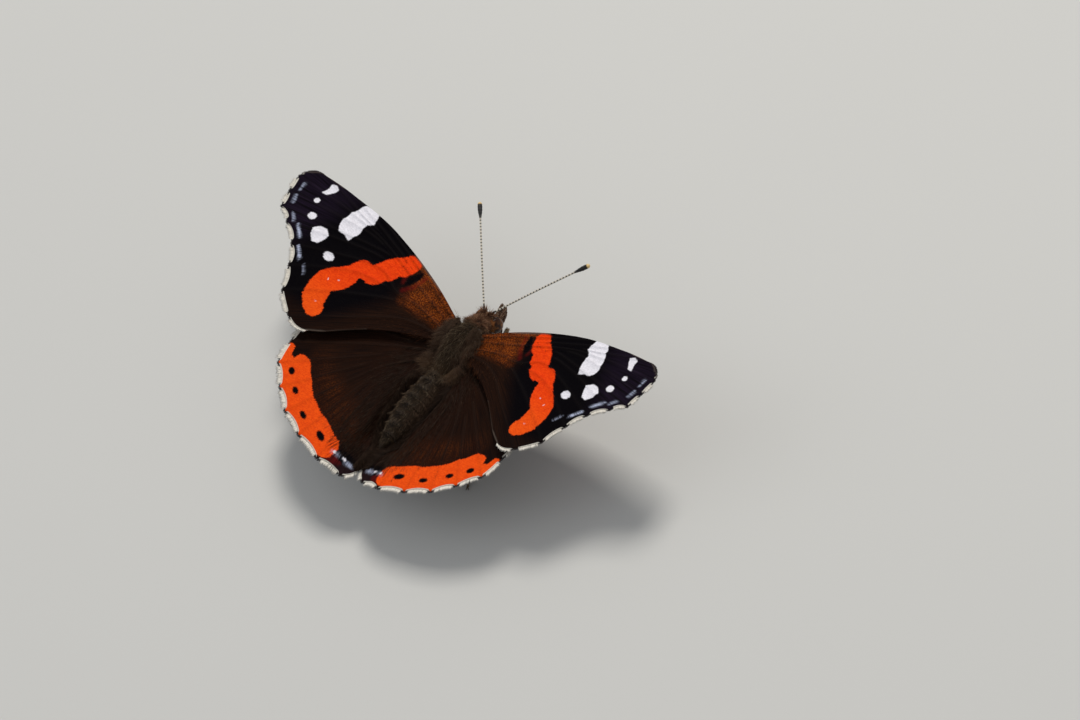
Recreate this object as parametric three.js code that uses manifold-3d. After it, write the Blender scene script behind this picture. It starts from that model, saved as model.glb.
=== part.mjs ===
// Red admiral butterfly (Vanessa atalanta), life size, at rest with its wings spread flat.
// Millimetres, +Z up, head towards -Y, the butterfly's left side towards +X.
// The body frame has its origin midway between the forewing bases, and is then set over the floor.
import * as THREE from "three";
import Module from "manifold-3d";

const wasm = await Module();
wasm.setup();

// Placement of the body frame over the floor, and the gap between neighbouring solids
const baseHeight = 8.8;
const baseToCentre = 4.0;
const seam = 0.3;

// Body envelope: place along the body, half width, top and bottom of the section
const bodyStations = [
  { along: -2.7, halfWidth: 1.05, top: 0.3, bottom: -1.9 },
  { along: -1.9, halfWidth: 1.9, top: 1.2, bottom: -2.8 },
  { along: -0.6, halfWidth: 2.4, top: 1.9, bottom: -3.4 },
  { along: 1.0, halfWidth: 2.5, top: 2.1, bottom: -3.7 },
  { along: 2.8, halfWidth: 2.3, top: 1.5, bottom: -3.6 },
  { along: 4.2, halfWidth: 1.85, top: 0.7, bottom: -3.1 },
  { along: 5.3, halfWidth: 1.25, top: 0.05, bottom: -2.5 },
  { along: 6.6, halfWidth: 1.6, top: 0.3, bottom: -3.0 },
  { along: 9.5, halfWidth: 1.95, top: 0.4, bottom: -3.6 },
  { along: 12.5, halfWidth: 1.7, top: 0.0, bottom: -3.5 },
  { along: 15.0, halfWidth: 1.1, top: -0.7, bottom: -3.0 },
  { along: 16.5, halfWidth: 0.4, top: -1.5, bottom: -2.4 },
];
const prothorax = { front: -2.6, rear: -1.8, rings: 3 };
const mesothorax = { front: prothorax.rear + seam, rear: 2.1, rings: 7 };
const metathorax = { front: mesothorax.rear + seam, rear: 5.15, rings: 5 };
const abdomen = { front: metathorax.rear + seam, rear: 16.5, segments: 8, ringDepth: 0.12 };
const bodySides = 16;

// Head, with the eyes set in sockets
const head = { along: -3.7, height: -0.78, halfWidth: 1.4, halfLength: 1.15, halfHeight: 1.35 };
const eye = { side: 1.35, along: -3.85, height: -0.7, halfWidth: 0.8, halfLength: 1.05, halfHeight: 1.2 };
const palp = {
  base: [0.5, -5.05, -1.8],
  middle: [0.58, -5.85, -1.5],
  tip: [0.4, -6.6, -0.75],
  radius: 0.42,
  tipRadius: 0.12,
  flatness: 0.85,
  socket: { root: [0.45, -3.85, -1.45], radius: 0.4, clearance: 0.25 },
};
const proboscis = { along: -4.25, height: -3.25, outer: 0.75, inner: 0.28, turns: 1.6, radius: 0.16 };
const antenna = {
  base: [0.55, -4.3, 0.85],
  tip: [10.2, -15.0, 4.2],
  shaftRadius: 0.25,
  clubLength: 2.6,
  clubRadius: 0.5,
  sides: 8,
  socket: { root: [0.15, -3.7, 0.15], radius: 0.32, clearance: 0.12 },
};

// Walking legs: root in the thorax, hip, knee, ankle on the floor and the tip of the foot
const middleLeg = {
  root: [1.1, 0.6, -2.6],
  hip: [1.7, 1.0, -4.5],
  knee: [5.4, -0.4, -3.3],
  ankle: [7.3, -1.4],
  toe: [10.6, -4.3],
};
const hindLeg = {
  root: [0.9, 4.1, -2.2],
  hip: [1.4, 4.3, -4.1],
  knee: [4.8, 7.0, -3.4],
  ankle: [6.4, 9.4],
  toe: [9.0, 13.3],
};
const legSizes = { coxa: 0.62, femur: 0.42, femurSwell: 0.08, knee: 0.32, tibia: 0.27, hipClearance: 0.62 };

// A foot lies flat: its joints, its narrowing towards the toe, and its section across and up
const foot = {
  joints: 5,
  height: 0.5,
  halfWidth: 0.25,
  taper: 0.25,
  rings: [{ part: 0.02, size: 0.8 }, { part: 0.3, size: 1 }, { part: 0.85, size: 1 }],
  section: [[-0.7, 0], [0.7, 0], [1, 0.4], [0.6, 1], [-0.6, 1], [-1, 0.4]],
};

// The forelegs are short brushes folded under the throat
const foreleg = { base: [0.95, -1.9, -3.15], middle: [1.1, -3.4, -3.45], tip: [0.95, -4.9, -3.25], radius: 0.4 };

// Tegula: the scale over each forewing base, with its height over the wing's root
const tegula = { centre: [2.05, -0.9, 1.85], half: [0.95, 1.5, 0.42], lean: 34, clearance: 0.9 };

// Wings: thickness of the membrane and of its veins
const membrane = { thickness: 0.5, edgeThickness: 0.32, ridgeTop: 0.2, ridgeUnder: 0.12, ridgeFoot: 0.36 };
const rowFractions = [0, 0.05, 0.12, 0.2, 0.29, 0.38, 0.47, 0.56, 0.65, 0.74, 0.82, 0.89, 0.95, 1];

// Each vein line runs from the root through a few points to the margin, outward and rearward of the hinge.
// leaves: where along its line the vein parts from its stem, or noVein for a bare edge.
// bow: bulge of the margin behind its end; between: 3 for a wide gap to the next line, 1 for a narrow one.
const noVein = 2;
const forewing = {
  hinge: [2.7, -0.3, 0.92],
  dihedral: 10.05,
  chordTilt: -5.26,
  archHeight: 0.3,
  archLength: 32,
  trough: 0,
  fold: 0,
  rearShift: 0,
  rootFront: [0, -0.9],
  rootRear: [0, 2.3],
  boss: { middle: 0.2, halfChord: 1.45, halfHeight: 0.5 },
  veins: [
    { name: "costa", through: [[4.5, -3.1], [9.5, -4.8]], end: [14.2, -6.05], leaves: 0, bow: 0.05, between: 1 },
    { name: "subcosta", through: [[5.0, -2.6], [11, -4.6]], end: [17.4, -6.6], leaves: 0, bow: 0.04, between: 1 },
    { name: "radius_1", through: [[5.3, -2.1], [11.5, -4.0]], end: [21.8, -7.0], leaves: 0.5, bow: 0.1, between: 1 },
    {
      name: "radius_3", through: [[5.6, -1.8], [13.5, -4.25], [20, -5.6]], end: [27.6, -7.25],
      leaves: 0.62, bow: 0.75, between: 3,
    },
    {
      name: "radius_4", through: [[5.8, -1.55], [13.8, -3.95], [20.5, -5.0]], end: [31.1, -5.4],
      leaves: 0, bow: -0.05, between: 3,
    },
    {
      name: "radius_5", through: [[6.0, -1.25], [12, -2.95], [17.5, -4.1]], end: [30.8, -3.1],
      leaves: 0.5, bow: -0.15, between: 3,
    },
    {
      name: "media_1", through: [[6.1, -0.9], [11, -2.35], [14.0, -3.1]], end: [30.3, -0.9],
      leaves: 0.45, bow: -0.4, between: 3,
    },
    { name: "media_2", through: [[5.9, -0.5], [14.2, -2.3]], end: [28.1, 0.5], leaves: 0.5, bow: -0.4, between: 3 },
    {
      name: "media_3", through: [[4.8, 0.3], [9.0, 0.25], [13.7, -1.1]], end: [25.5, 2.5],
      leaves: 0, bow: -0.4, between: 3,
    },
    {
      name: "cubitus_1", through: [[4.8, 0.75], [10.8, 0.45], [15.9, 1.15]], end: [23.8, 5.0],
      leaves: 0.46, bow: -0.35, between: 3,
    },
    {
      name: "cubitus_2", through: [[4.4, 1.2], [8.3, 1.25], [16.4, 4.8]], end: [22.2, 8.1],
      leaves: 0.38, bow: 0.05, between: 3,
    },
    { name: "anal", through: [[5.5, 2.6], [12, 6.3]], end: [19.0, 10.4], leaves: 0, bow: 0.42, between: 3 },
    { name: "inner_margin", through: [[4.4, 4.1], [8.8, 6.3], [13.2, 9.4]], end: [15.4, 10.55], leaves: noVein },
  ],
};
const hindwing = {
  hinge: [2.6, 3.6, -0.34],
  dihedral: 9.08,
  chordTilt: -2.69,
  archHeight: 0,
  archLength: 32,
  trough: 0.6,
  fold: 0.8,
  rearShift: 0.35,
  rootFront: [0.25, -1.85],
  rootRear: [0, 1.6],
  boss: { middle: 3.75, halfChord: 1.15, halfHeight: 0.45 },
  veins: [
    { name: "costa", through: [[5.5, -2.1], [11, -0.3]], end: [15.2, 2.4], leaves: 0, bow: 0.25, between: 3 },
    { name: "subcosta", through: [[3.8, -0.2], [9.5, 1.5]], end: [16.9, 5.2], leaves: 0, bow: 0.2, between: 3 },
    { name: "radius", through: [[3.6, 0.8], [8.5, 3.4]], end: [17.25, 8.4], leaves: 0, bow: 0.12, between: 3 },
    { name: "media_1", through: [[3.3, 1.5], [7.6, 4.9]], end: [16.6, 11.7], leaves: 0.36, bow: -0.3, between: 3 },
    { name: "media_2", through: [[3.0, 2.1], [6.9, 6.0]], end: [14.0, 14.3], leaves: 0.45, bow: -0.35, between: 3 },
    { name: "media_3", through: [[2.6, 2.7], [5.9, 7.0]], end: [11.0, 16.5], leaves: 0, bow: -0.35, between: 3 },
    { name: "cubitus_1", through: [[2.1, 3.1], [4.7, 7.5]], end: [7.1, 18.1], leaves: 0.38, bow: -0.35, between: 3 },
    { name: "cubitus_2", through: [[1.6, 3.4], [2.9, 7.6]], end: [2.7, 19.3], leaves: 0.24, bow: -0.3, between: 3 },
    { name: "anal", through: [[0.95, 4.2], [0.8, 10]], end: [-1.1, 19.25], leaves: 0, bow: 0.3, between: 3 },
    {
      name: "inner_margin", through: [[-0.1, 3.4], [-0.45, 6.2], [-0.65, 9.0], [-1.2, 11.6], [-1.95, 13.4]],
      end: [-2.4, 17.4], leaves: noVein,
    },
  ],
};

const colours = {
  wing: 0x241812,
  body: 0x1d1915,
  abdomen: 0x2a231d,
  head: 0x4a2c1c,
  eye: 0x2b1a12,
  leg: 0x4d3a2a,
  antenna: 0x14110f,
};

const butterfly = new THREE.Group();
butterfly.position.set(0, -baseToCentre, baseHeight);

// Solids and surfaces

function surface(points, faces) {
  const geometry = new THREE.BufferGeometry();
  geometry.setAttribute("position", new THREE.Float32BufferAttribute(points.flat(), 3));
  geometry.setIndex(faces.flat());
  return geometry;
}

function solidOf(geometry) {
  const vertProperties = Float32Array.from(geometry.attributes.position.array);
  const triVerts = Uint32Array.from(geometry.index.array);
  return new wasm.Manifold(new wasm.Mesh({ numProp: 3, vertProperties, triVerts }));
}

function largestSurface(solid) {
  const pieces = solid.decompose();
  pieces.sort((a, b) => b.volume() - a.volume());
  const mesh = pieces[0].getMesh();
  const geometry = new THREE.BufferGeometry();
  geometry.setAttribute("position", new THREE.Float32BufferAttribute(mesh.vertProperties, 3));
  geometry.setIndex(Array.from(mesh.triVerts));
  return geometry;
}

function mirrored(geometry) {
  const copy = geometry.clone();
  copy.applyMatrix4(new THREE.Matrix4().makeScale(-1, 1, 1));
  const index = Array.from(copy.index.array);
  for (let i = 0; i < index.length; i += 3) {
    [index[i + 1], index[i + 2]] = [index[i + 2], index[i + 1]];
  }
  copy.setIndex(index);
  return copy;
}

// A closed tube of rings, each ring a list of points in the same order round the path.
function ringed(rings) {
  const sides = rings[0].length;
  const points = rings.flat();
  const faces = [];
  for (let r = 0; r + 1 < rings.length; r += 1) {
    for (let s = 0; s < sides; s += 1) {
      const next = (s + 1) % sides;
      const [a, b, c, d] = [r * sides + s, r * sides + next, (r + 1) * sides + next, (r + 1) * sides + s];
      faces.push([a, b, c], [a, c, d]);
    }
  }
  const lastRing = (rings.length - 1) * sides;
  for (let s = 1; s + 1 < sides; s += 1) {
    faces.push([0, s + 1, s], [lastRing, lastRing + s, lastRing + s + 1]);
  }
  return surface(points, faces);
}

// A limb along a path: radiusAt(t) gives the half width and the half height of its section.
function limb(path, steps, sides, radiusAt) {
  const rings = [];
  for (let i = 0; i <= steps; i += 1) {
    const t = i / steps;
    const centre = path.getPointAt(t);
    const tangent = path.getTangentAt(t);
    const across = new THREE.Vector3(0, 0, 1).cross(tangent).normalize();
    const up = tangent.clone().cross(across);
    const [halfWidth, halfHeight] = radiusAt(t);
    const ring = [];
    for (let s = 0; s < sides; s += 1) {
      const angle = ((s + 0.5) / sides) * 2 * Math.PI;
      const point = centre.clone();
      point.addScaledVector(across, halfWidth * Math.cos(angle));
      point.addScaledVector(up, halfHeight * Math.sin(angle));
      ring.push(point.toArray());
    }
    rings.push(ring);
  }
  return ringed(rings);
}

function ellipsoid(centre, half, widthSegments, heightSegments) {
  const rings = [];
  const poles = [[centre[0], centre[1], centre[2] - half[2]], [centre[0], centre[1], centre[2] + half[2]]];
  for (let r = 1; r < heightSegments; r += 1) {
    const polar = (r / heightSegments) * Math.PI;
    for (let s = 0; s < widthSegments; s += 1) {
      const angle = (s / widthSegments) * 2 * Math.PI;
      rings.push([
        centre[0] + half[0] * Math.sin(polar) * Math.cos(angle),
        centre[1] + half[1] * Math.sin(polar) * Math.sin(angle),
        centre[2] - half[2] * Math.cos(polar),
      ]);
    }
  }
  const faces = [];
  const top = 1 + rings.length;
  for (let s = 0; s < widthSegments; s += 1) {
    const next = (s + 1) % widthSegments;
    faces.push([0, 1 + next, 1 + s], [top, top - widthSegments + s, top - widthSegments + next]);
    for (let r = 0; r + 2 < heightSegments; r += 1) {
      const [a, b] = [1 + r * widthSegments + s, 1 + r * widthSegments + next];
      faces.push([a, b, b + widthSegments], [a, b + widthSegments, a + widthSegments]);
    }
  }
  return surface([poles[0], ...rings, poles[1]], faces);
}

function straight(from, to) {
  return new THREE.LineCurve3(new THREE.Vector3(...from), new THREE.Vector3(...to));
}

function curved(points) {
  return new THREE.CatmullRomCurve3(points.map((point) => new THREE.Vector3(...point)));
}

// The point that lies a distance from one point towards another.
function stepTowards(from, to, distance) {
  const start = new THREE.Vector3(...from);
  const way = new THREE.Vector3(...to).sub(start).normalize();
  return start.addScaledVector(way, distance).toArray();
}

function addNode(name, geometry, colour, roughness) {
  const material = new THREE.MeshStandardMaterial({ color: colour, roughness, metalness: 0 });
  const mesh = new THREE.Mesh(geometry, material);
  mesh.name = name;
  butterfly.add(mesh);
  return mesh;
}

function addPair(name, geometry, colour, roughness) {
  addNode(`${name}_left`, geometry, colour, roughness);
  addNode(`${name}_right`, mirrored(geometry), colour, roughness);
}

// Body

// Smooth value of one size of the body envelope at a place along the body.
function envelope(size, along) {
  const last = bodyStations.length - 2;
  const found = bodyStations.findIndex((station) => station.along > along) - 1;
  const k = THREE.MathUtils.clamp(found < 0 ? last : found, 0, last);
  const at = (i) => bodyStations[THREE.MathUtils.clamp(i, 0, last + 1)];
  const slope = (i) => (at(i + 1)[size] - at(i - 1)[size]) / (at(i + 1).along - at(i - 1).along);
  const width = at(k + 1).along - at(k).along;
  const t = THREE.MathUtils.clamp((along - at(k).along) / width, 0, 1);
  const rise = at(k + 1)[size] - at(k)[size];
  const leaving = slope(k) * width;
  const arriving = slope(k + 1) * width;
  return at(k)[size] + t * (leaving + t * (3 * rise - 2 * leaving - arriving + t * (leaving + arriving - 2 * rise)));
}

function bodyRing(along, swell) {
  const halfWidth = envelope("halfWidth", along) + swell;
  const top = envelope("top", along) + swell;
  const bottom = envelope("bottom", along) - swell;
  const ring = [];
  for (let s = 0; s < bodySides; s += 1) {
    const angle = ((s + 0.5) / bodySides) * 2 * Math.PI;
    const height = (top + bottom) / 2 + ((top - bottom) / 2) * Math.sin(angle);
    ring.push([halfWidth * Math.cos(angle), along, height]);
  }
  return ring;
}

function bodyPiece(piece) {
  const rings = [];
  for (let i = 0; i <= piece.rings; i += 1) {
    rings.push(bodyRing(piece.front + ((piece.rear - piece.front) * i) / piece.rings, 0));
  }
  return ringed(rings.reverse());
}

// The abdomen narrows a little at each joint between its segments.
function abdomenShape() {
  const rings = [];
  const length = abdomen.rear - abdomen.front;
  for (let k = 0; k < abdomen.segments; k += 1) {
    for (const [part, swell] of [[0, -abdomen.ringDepth], [0.35, 0], [0.8, 0]]) {
      const along = abdomen.front + (length * (k + part)) / abdomen.segments;
      rings.push(bodyRing(along, swell));
    }
  }
  rings.push(bodyRing(abdomen.rear, -abdomen.ringDepth));
  return ringed(rings.reverse());
}

// The block on the side of the thorax that carries a wing; its flat end faces the wing's root.
function wingBoss(wing) {
  const [x, , z] = wing.hinge;
  const { middle, halfChord, halfHeight } = wing.boss;
  const inner = 0.6;
  const outer = x - seam - 0.08;
  const width = outer - inner;
  const box = new THREE.BoxGeometry(width, 2 * halfChord, 2 * halfHeight);
  box.translate(inner + width / 2, middle, z);
  return box;
}

function coxa(leg) {
  return limb(straight(leg.root, leg.hip), 1, 8, () => [legSizes.coxa, legSizes.coxa]);
}

// The same surface with the corners that meet joined into one.
function welded(box) {
  const corners = [];
  const seen = new Map();
  const position = box.attributes.position;
  const index = [];
  const count = box.index ? box.index.count : position.count;
  for (let i = 0; i < count; i += 1) {
    const v = box.index ? box.index.getX(i) : i;
    const point = [position.getX(v), position.getY(v), position.getZ(v)];
    const key = point.map((value) => value.toFixed(4)).join();
    if (!seen.has(key)) {
      seen.set(key, corners.length);
      corners.push(point);
    }
    index.push(seen.get(key));
  }
  return surface(corners, [index]);
}

function joined(pieces) {
  let whole = solidOf(pieces[0]);
  for (const piece of pieces.slice(1)) {
    whole = whole.add(solidOf(piece));
  }
  return whole;
}

function bothSides(geometry) {
  return [geometry, mirrored(geometry)];
}

function addBody() {
  const middleCoxae = bothSides(coxa(middleLeg));
  const hindCoxae = bothSides(coxa(hindLeg));
  const forewingBosses = bothSides(welded(wingBoss(forewing)));
  const hindwingBosses = bothSides(welded(wingBoss(hindwing)));
  addNode("prothorax", bodyPiece(prothorax), colours.body, 0.9);
  const middle = joined([bodyPiece(mesothorax), ...forewingBosses, ...middleCoxae]);
  addNode("mesothorax", largestSurface(middle), colours.body, 0.9);
  const rear = joined([bodyPiece(metathorax), ...hindwingBosses, ...hindCoxae]);
  addNode("metathorax", largestSurface(rear), colours.body, 0.9);
  addNode("abdomen", abdomenShape(), colours.abdomen, 0.9);
}

// Head, with a socket cut for each eye and a flat at the neck

function eyeShape(clearance) {
  const half = [eye.halfWidth + clearance, eye.halfLength + clearance, eye.halfHeight + clearance];
  return ellipsoid([eye.side, eye.along, eye.height], half, 16, 11);
}

// The short stalk on the head that ends just before a palp or a feeler.
function stalk(part) {
  const { root, radius, clearance } = part.socket;
  return limb(straight(root, stepTowards(part.base, root, seam + clearance)), 1, 8, () => [radius, radius]);
}

function addHead() {
  const centre = [0, head.along, head.height];
  const skull = ellipsoid(centre, [head.halfWidth, head.halfLength, head.halfHeight], 18, 12);
  let whole = joined([skull, ...bothSides(stalk(palp)), ...bothSides(stalk(antenna))]);
  for (const socket of bothSides(eyeShape(seam))) {
    whole = whole.subtract(solidOf(socket));
  }
  const behindNeck = new THREE.BoxGeometry(6, 2, 6);
  behindNeck.translate(0, prothorax.front - seam + 1, head.height);
  whole = whole.subtract(solidOf(welded(behindNeck)));
  addNode("head", largestSurface(whole), colours.head, 0.9);
  addPair("eye", eyeShape(0), colours.eye, 0.25);
  const palpShape = limb(curved([palp.base, palp.middle, palp.tip]), 7, 10, (t) => {
    const radius = palp.radius * (1 - t ** 3) + palp.tipRadius * t ** 3;
    return [radius * palp.flatness, radius];
  });
  addPair("palp", palpShape, colours.head, 0.9);
}

// The rolled tongue: a flat spiral between the palps.
function addProboscis() {
  const points = [];
  const steps = Math.round(10 * proboscis.turns);
  for (let i = 0; i <= steps; i += 1) {
    const t = i / steps;
    const angle = Math.PI / 2 + t * proboscis.turns * 2 * Math.PI;
    const radius = proboscis.outer + (proboscis.inner - proboscis.outer) * t;
    const along = proboscis.along - radius * Math.cos(angle);
    points.push([0, along, proboscis.height + radius * Math.sin(angle)]);
  }
  const path = curved(points);
  const section = new THREE.Shape().absarc(0, 0, proboscis.radius, 0, 2 * Math.PI);
  const settings = { steps: 22, extrudePath: path, curveSegments: 3, bevelEnabled: false };
  addNode("proboscis", welded(new THREE.ExtrudeGeometry(section, settings)), colours.head, 0.6);
}

// Feelers: a thin shaft that swells into a club
function addAntennae() {
  const path = straight(antenna.base, antenna.tip);
  const length = path.getLength();
  const clubStart = 1 - antenna.clubLength / length;
  const shape = limb(path, 18, antenna.sides, (t) => {
    const swell = THREE.MathUtils.smoothstep(t, clubStart, 1 - 0.3 * (1 - clubStart));
    const end = t > 0.999 ? 0.5 : 1;
    const radius = (antenna.shaftRadius + (antenna.clubRadius - antenna.shaftRadius) * swell) * end;
    return [radius, radius];
  });
  addPair("antenna", shape, colours.antenna, 0.7);
}

// Legs

// A foot lies flat on the floor: a bar with a flat underside, narrowed at each joint, with an upturned claw end.
function footShape(leg) {
  const from = new THREE.Vector3(leg.ankle[0], leg.ankle[1], -baseHeight);
  const to = new THREE.Vector3(leg.toe[0], leg.toe[1], -baseHeight);
  const way = to.clone().sub(from).normalize();
  const across = new THREE.Vector3(-way.y, way.x, 0);
  const length = from.distanceTo(to);
  const rings = [];
  for (let k = 0; k < foot.joints; k += 1) {
    for (const { part, size } of foot.rings) {
      const share = (k + part) / foot.joints;
      const centre = from.clone().addScaledVector(way, length * share);
      const taper = 1 - foot.taper * share;
      const half = foot.halfWidth * size * taper;
      const height = foot.height * (0.7 + 0.3 * size) * taper;
      rings.push(foot.section.map(([side, up]) => {
        const point = centre.clone().addScaledVector(across, side * half);
        return [point.x, point.y, point.z + up * height];
      }));
    }
  }
  return ringed(rings);
}

function addLeg(name, leg) {
  const ankle = [leg.ankle[0], leg.ankle[1], -baseHeight + foot.height + seam];
  const hip = stepTowards(leg.hip, leg.knee, seam + legSizes.hipClearance);
  const thigh = straight(hip, stepTowards(leg.knee, leg.hip, seam + legSizes.tibia));
  const thighShape = limb(thigh, 6, 8, (t) => {
    const swell = legSizes.femurSwell * Math.sin(Math.PI * t);
    const radius = legSizes.femur + (legSizes.knee - legSizes.femur) * t + swell;
    return [radius, radius];
  });
  addPair(`${name}_femur`, thighShape, colours.leg, 0.8);
  const shinShape = limb(straight(leg.knee, ankle), 5, 8, () => [legSizes.tibia, legSizes.tibia]);
  addPair(`${name}_tibia`, shinShape, colours.leg, 0.8);
  addPair(`${name}_tarsus`, footShape(leg), colours.leg, 0.8);
}

function addForelegs() {
  const path = curved([foreleg.base, foreleg.middle, foreleg.tip]);
  const shape = limb(path, 7, 8, (t) => {
    const radius = foreleg.radius * (0.75 + 0.25 * Math.sin(Math.PI * Math.min(1, t * 1.6))) * (1 - 0.5 * t * t);
    return [radius * 0.8, radius];
  });
  addPair("foreleg", shape, colours.leg, 0.9);
}

// Wings

const flat = (pair) => new THREE.Vector2(...pair);

// The lines that the wing's surface follows from its root to its margin, one for each vein.
function wingLines(wing) {
  const last = wing.veins.length - 1;
  return wing.veins.map((vein, i) => {
    const root = flat(wing.rootFront).lerp(flat(wing.rootRear), i / last);
    const curve = new THREE.SplineCurve([root, ...vein.through.map(flat), flat(vein.end)]);
    return { vein, points: rowFractions.map((fraction) => curve.getPointAt(fraction)), curve };
  });
}

// The drawn part of each vein, as a chain of points with the height it stands up to.
function veinChains(lines) {
  const steps = 24;
  const chains = [];
  for (const { vein, curve } of lines) {
    if (vein.leaves !== noVein) {
      const chain = [];
      for (let k = 0; k <= steps; k += 1) {
        const t = vein.leaves + ((1 - vein.leaves) * k) / steps;
        chain.push({ point: curve.getPointAt(t), size: 1 - 0.55 * t });
      }
      chains.push(chain);
    }
  }
  return chains;
}

// How far the veins stand up at a place, from 0 on bare membrane to 1 on a thick vein.
function veinRise(chains, place) {
  let rise = 0;
  for (const chain of chains) {
    for (let k = 0; k + 1 < chain.length; k += 1) {
      const { point: a, size } = chain[k];
      const way = chain[k + 1].point.clone().sub(a);
      const t = THREE.MathUtils.clamp(place.clone().sub(a).dot(way) / way.lengthSq(), 0, 1);
      const away = place.distanceTo(a.clone().addScaledVector(way, t));
      rise = Math.max(rise, size * (1 - away / membrane.ridgeFoot));
    }
  }
  return rise;
}

// Rows of places over the wing, from the root to the margin, and from the leading to the trailing edge.
function wingPlaces(lines) {
  return rowFractions.map((fraction, row) => {
    const places = [];
    for (let i = 0; i + 1 < lines.length; i += 1) {
      const [a, b] = [lines[i].points[row], lines[i + 1].points[row]];
      const chord = lines[i + 1].points.at(-1).clone().sub(lines[i].points.at(-1));
      const outward = new THREE.Vector2(chord.y, -chord.x).normalize();
      const { bow, between } = lines[i].vein;
      const foot = Math.min(0.25, membrane.ridgeFoot / Math.max(a.distanceTo(b), 1e-6));
      const shares = between === 1 ? [0, 0.5] : [0, foot, 0.5, 1 - foot];
      for (const share of shares) {
        const place = a.clone().lerp(b, share);
        const near = THREE.MathUtils.smoothstep(fraction, 0.6, 1);
        places.push(place.addScaledVector(outward, bow * near * 4 * share * (1 - share)));
      }
    }
    places.push(lines.at(-1).points[row].clone());
    return places;
  });
}

// Height of the middle of the wing over its plane: a low arch, a hollow beside the body, and a fold
// down along the side of the abdomen.
function wingHeight(wing, place) {
  const { smoothstep, clamp } = THREE.MathUtils;
  const arch = wing.archHeight * Math.sin((Math.PI * clamp(place.x, 0, wing.archLength)) / wing.archLength);
  const hollow = wing.trough * smoothstep(1.6 - place.x, 0, 2.2) * smoothstep(place.y, 1.5, 6);
  const besideAbdomen = smoothstep(place.y, 1.5, 4.5) * (1 - smoothstep(place.y, 12, 15.5));
  return arch - hollow - wing.fold * smoothstep(0.9 - place.x, 0, 1.2) * besideAbdomen;
}

function wingShape(wing) {
  const lines = wingLines(wing);
  const chains = veinChains(lines);
  const rows = wingPlaces(lines);
  const columns = rows[0].length;
  const upper = [];
  const lower = [];
  rows.forEach((places, row) => {
    const toEdge = THREE.MathUtils.smoothstep(rowFractions[row], 0.85, 1);
    const half = (membrane.thickness + (membrane.edgeThickness - membrane.thickness) * toEdge) / 2;
    for (const place of places) {
      const rise = veinRise(chains, place);
      const middle = wingHeight(wing, place);
      upper.push([place.x, place.y, middle + half + membrane.ridgeTop * rise]);
      lower.push([place.x, place.y, middle - half - membrane.ridgeUnder * rise]);
    }
  });
  const under = upper.length;
  const faces = [];
  const at = (row, column) => row * columns + column;
  for (let r = 0; r + 1 < rows.length; r += 1) {
    for (let c = 0; c + 1 < columns; c += 1) {
      const [p, q, s, t] = [at(r, c), at(r + 1, c), at(r + 1, c + 1), at(r, c + 1)];
      faces.push([p, q, s], [p, s, t]);
      faces.push([under + p, under + s, under + q], [under + p, under + t, under + s]);
    }
  }
  const span = (count) => Array.from({ length: count - 1 }, (_, i) => i);
  const root = span(columns).map((c) => at(0, c));
  const trailing = span(rows.length).map((r) => at(r, columns - 1));
  const margin = span(columns).map((c) => at(rows.length - 1, columns - 1 - c));
  const leading = span(rows.length).map((r) => at(rows.length - 1 - r, 0));
  const rim = [...root, ...trailing, ...margin, ...leading];
  rim.forEach((a, i) => {
    const b = rim[(i + 1) % rim.length];
    faces.push([a, b, under + b], [a, under + b, under + a]);
  });
  return surface([...upper, ...lower], faces);
}

function addWings(name, wing) {
  const shape = wingShape(wing);
  const tilt = THREE.MathUtils.degToRad(wing.chordTilt);
  const lift = THREE.MathUtils.degToRad(wing.dihedral);
  const [x, y, z] = wing.hinge;
  const left = addNode(`${name}_left`, shape, colours.wing, 0.8);
  left.position.set(x, y + wing.rearShift, z);
  left.rotation.set(tilt, -lift, 0);
  const right = addNode(`${name}_right`, mirrored(shape), colours.wing, 0.8);
  right.position.set(-x, y - wing.rearShift, z);
  right.rotation.set(tilt, lift, 0);
}

// The scale over the forewing base, cut clear of the thorax and of the wing's root
function addTegulae() {
  const [halfWidth, halfLength, halfHeight] = tegula.half;
  const blob = ellipsoid([0, 0, 0], [halfWidth, halfLength, halfHeight], 16, 10);
  blob.rotateY(THREE.MathUtils.degToRad(tegula.lean));
  blob.translate(...tegula.centre);
  const steps = 8;
  const rings = [];
  for (let i = 0; i <= steps; i += 1) {
    const along = prothorax.front + ((metathorax.front + 1 - prothorax.front) * i) / steps;
    rings.push(bodyRing(along, seam));
  }
  let whole = solidOf(blob).subtract(solidOf(ringed(rings.reverse())));
  const [x, y, z] = forewing.hinge;
  const roomHeight = 4;
  const room = new THREE.BoxGeometry(6, 8, roomHeight);
  room.translate(x, y, z + tegula.clearance - roomHeight / 2);
  whole = whole.subtract(solidOf(welded(room)));
  addPair("tegula", largestSurface(whole), colours.body, 0.8);
}

addBody();
addHead();
addProboscis();
addAntennae();
addForelegs();
addLeg("middle", middleLeg);
addLeg("hind", hindLeg);
addTegulae();
addWings("forewing", forewing);
addWings("hindwing", hindwing);

export default butterfly;
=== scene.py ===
"""Looks of a red admiral butterfly, life size, resting with its wings spread flat.

Lengths are millimetres in the body's own frame until a mesh is made: its origin lies midway between the
forewing bases, +X is the butterfly's left, +Y its rear and +Z up. A wing's marks are in the wing's own
plane, outward and rearward of its hinge.
"""

import logging
import math
from dataclasses import dataclass, field
from enum import Enum
from functools import cached_property

import bpy
import numpy as np
from mathutils import Matrix, Vector
from numpy import column_stack as columns
from numpy.linalg import norm


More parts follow.
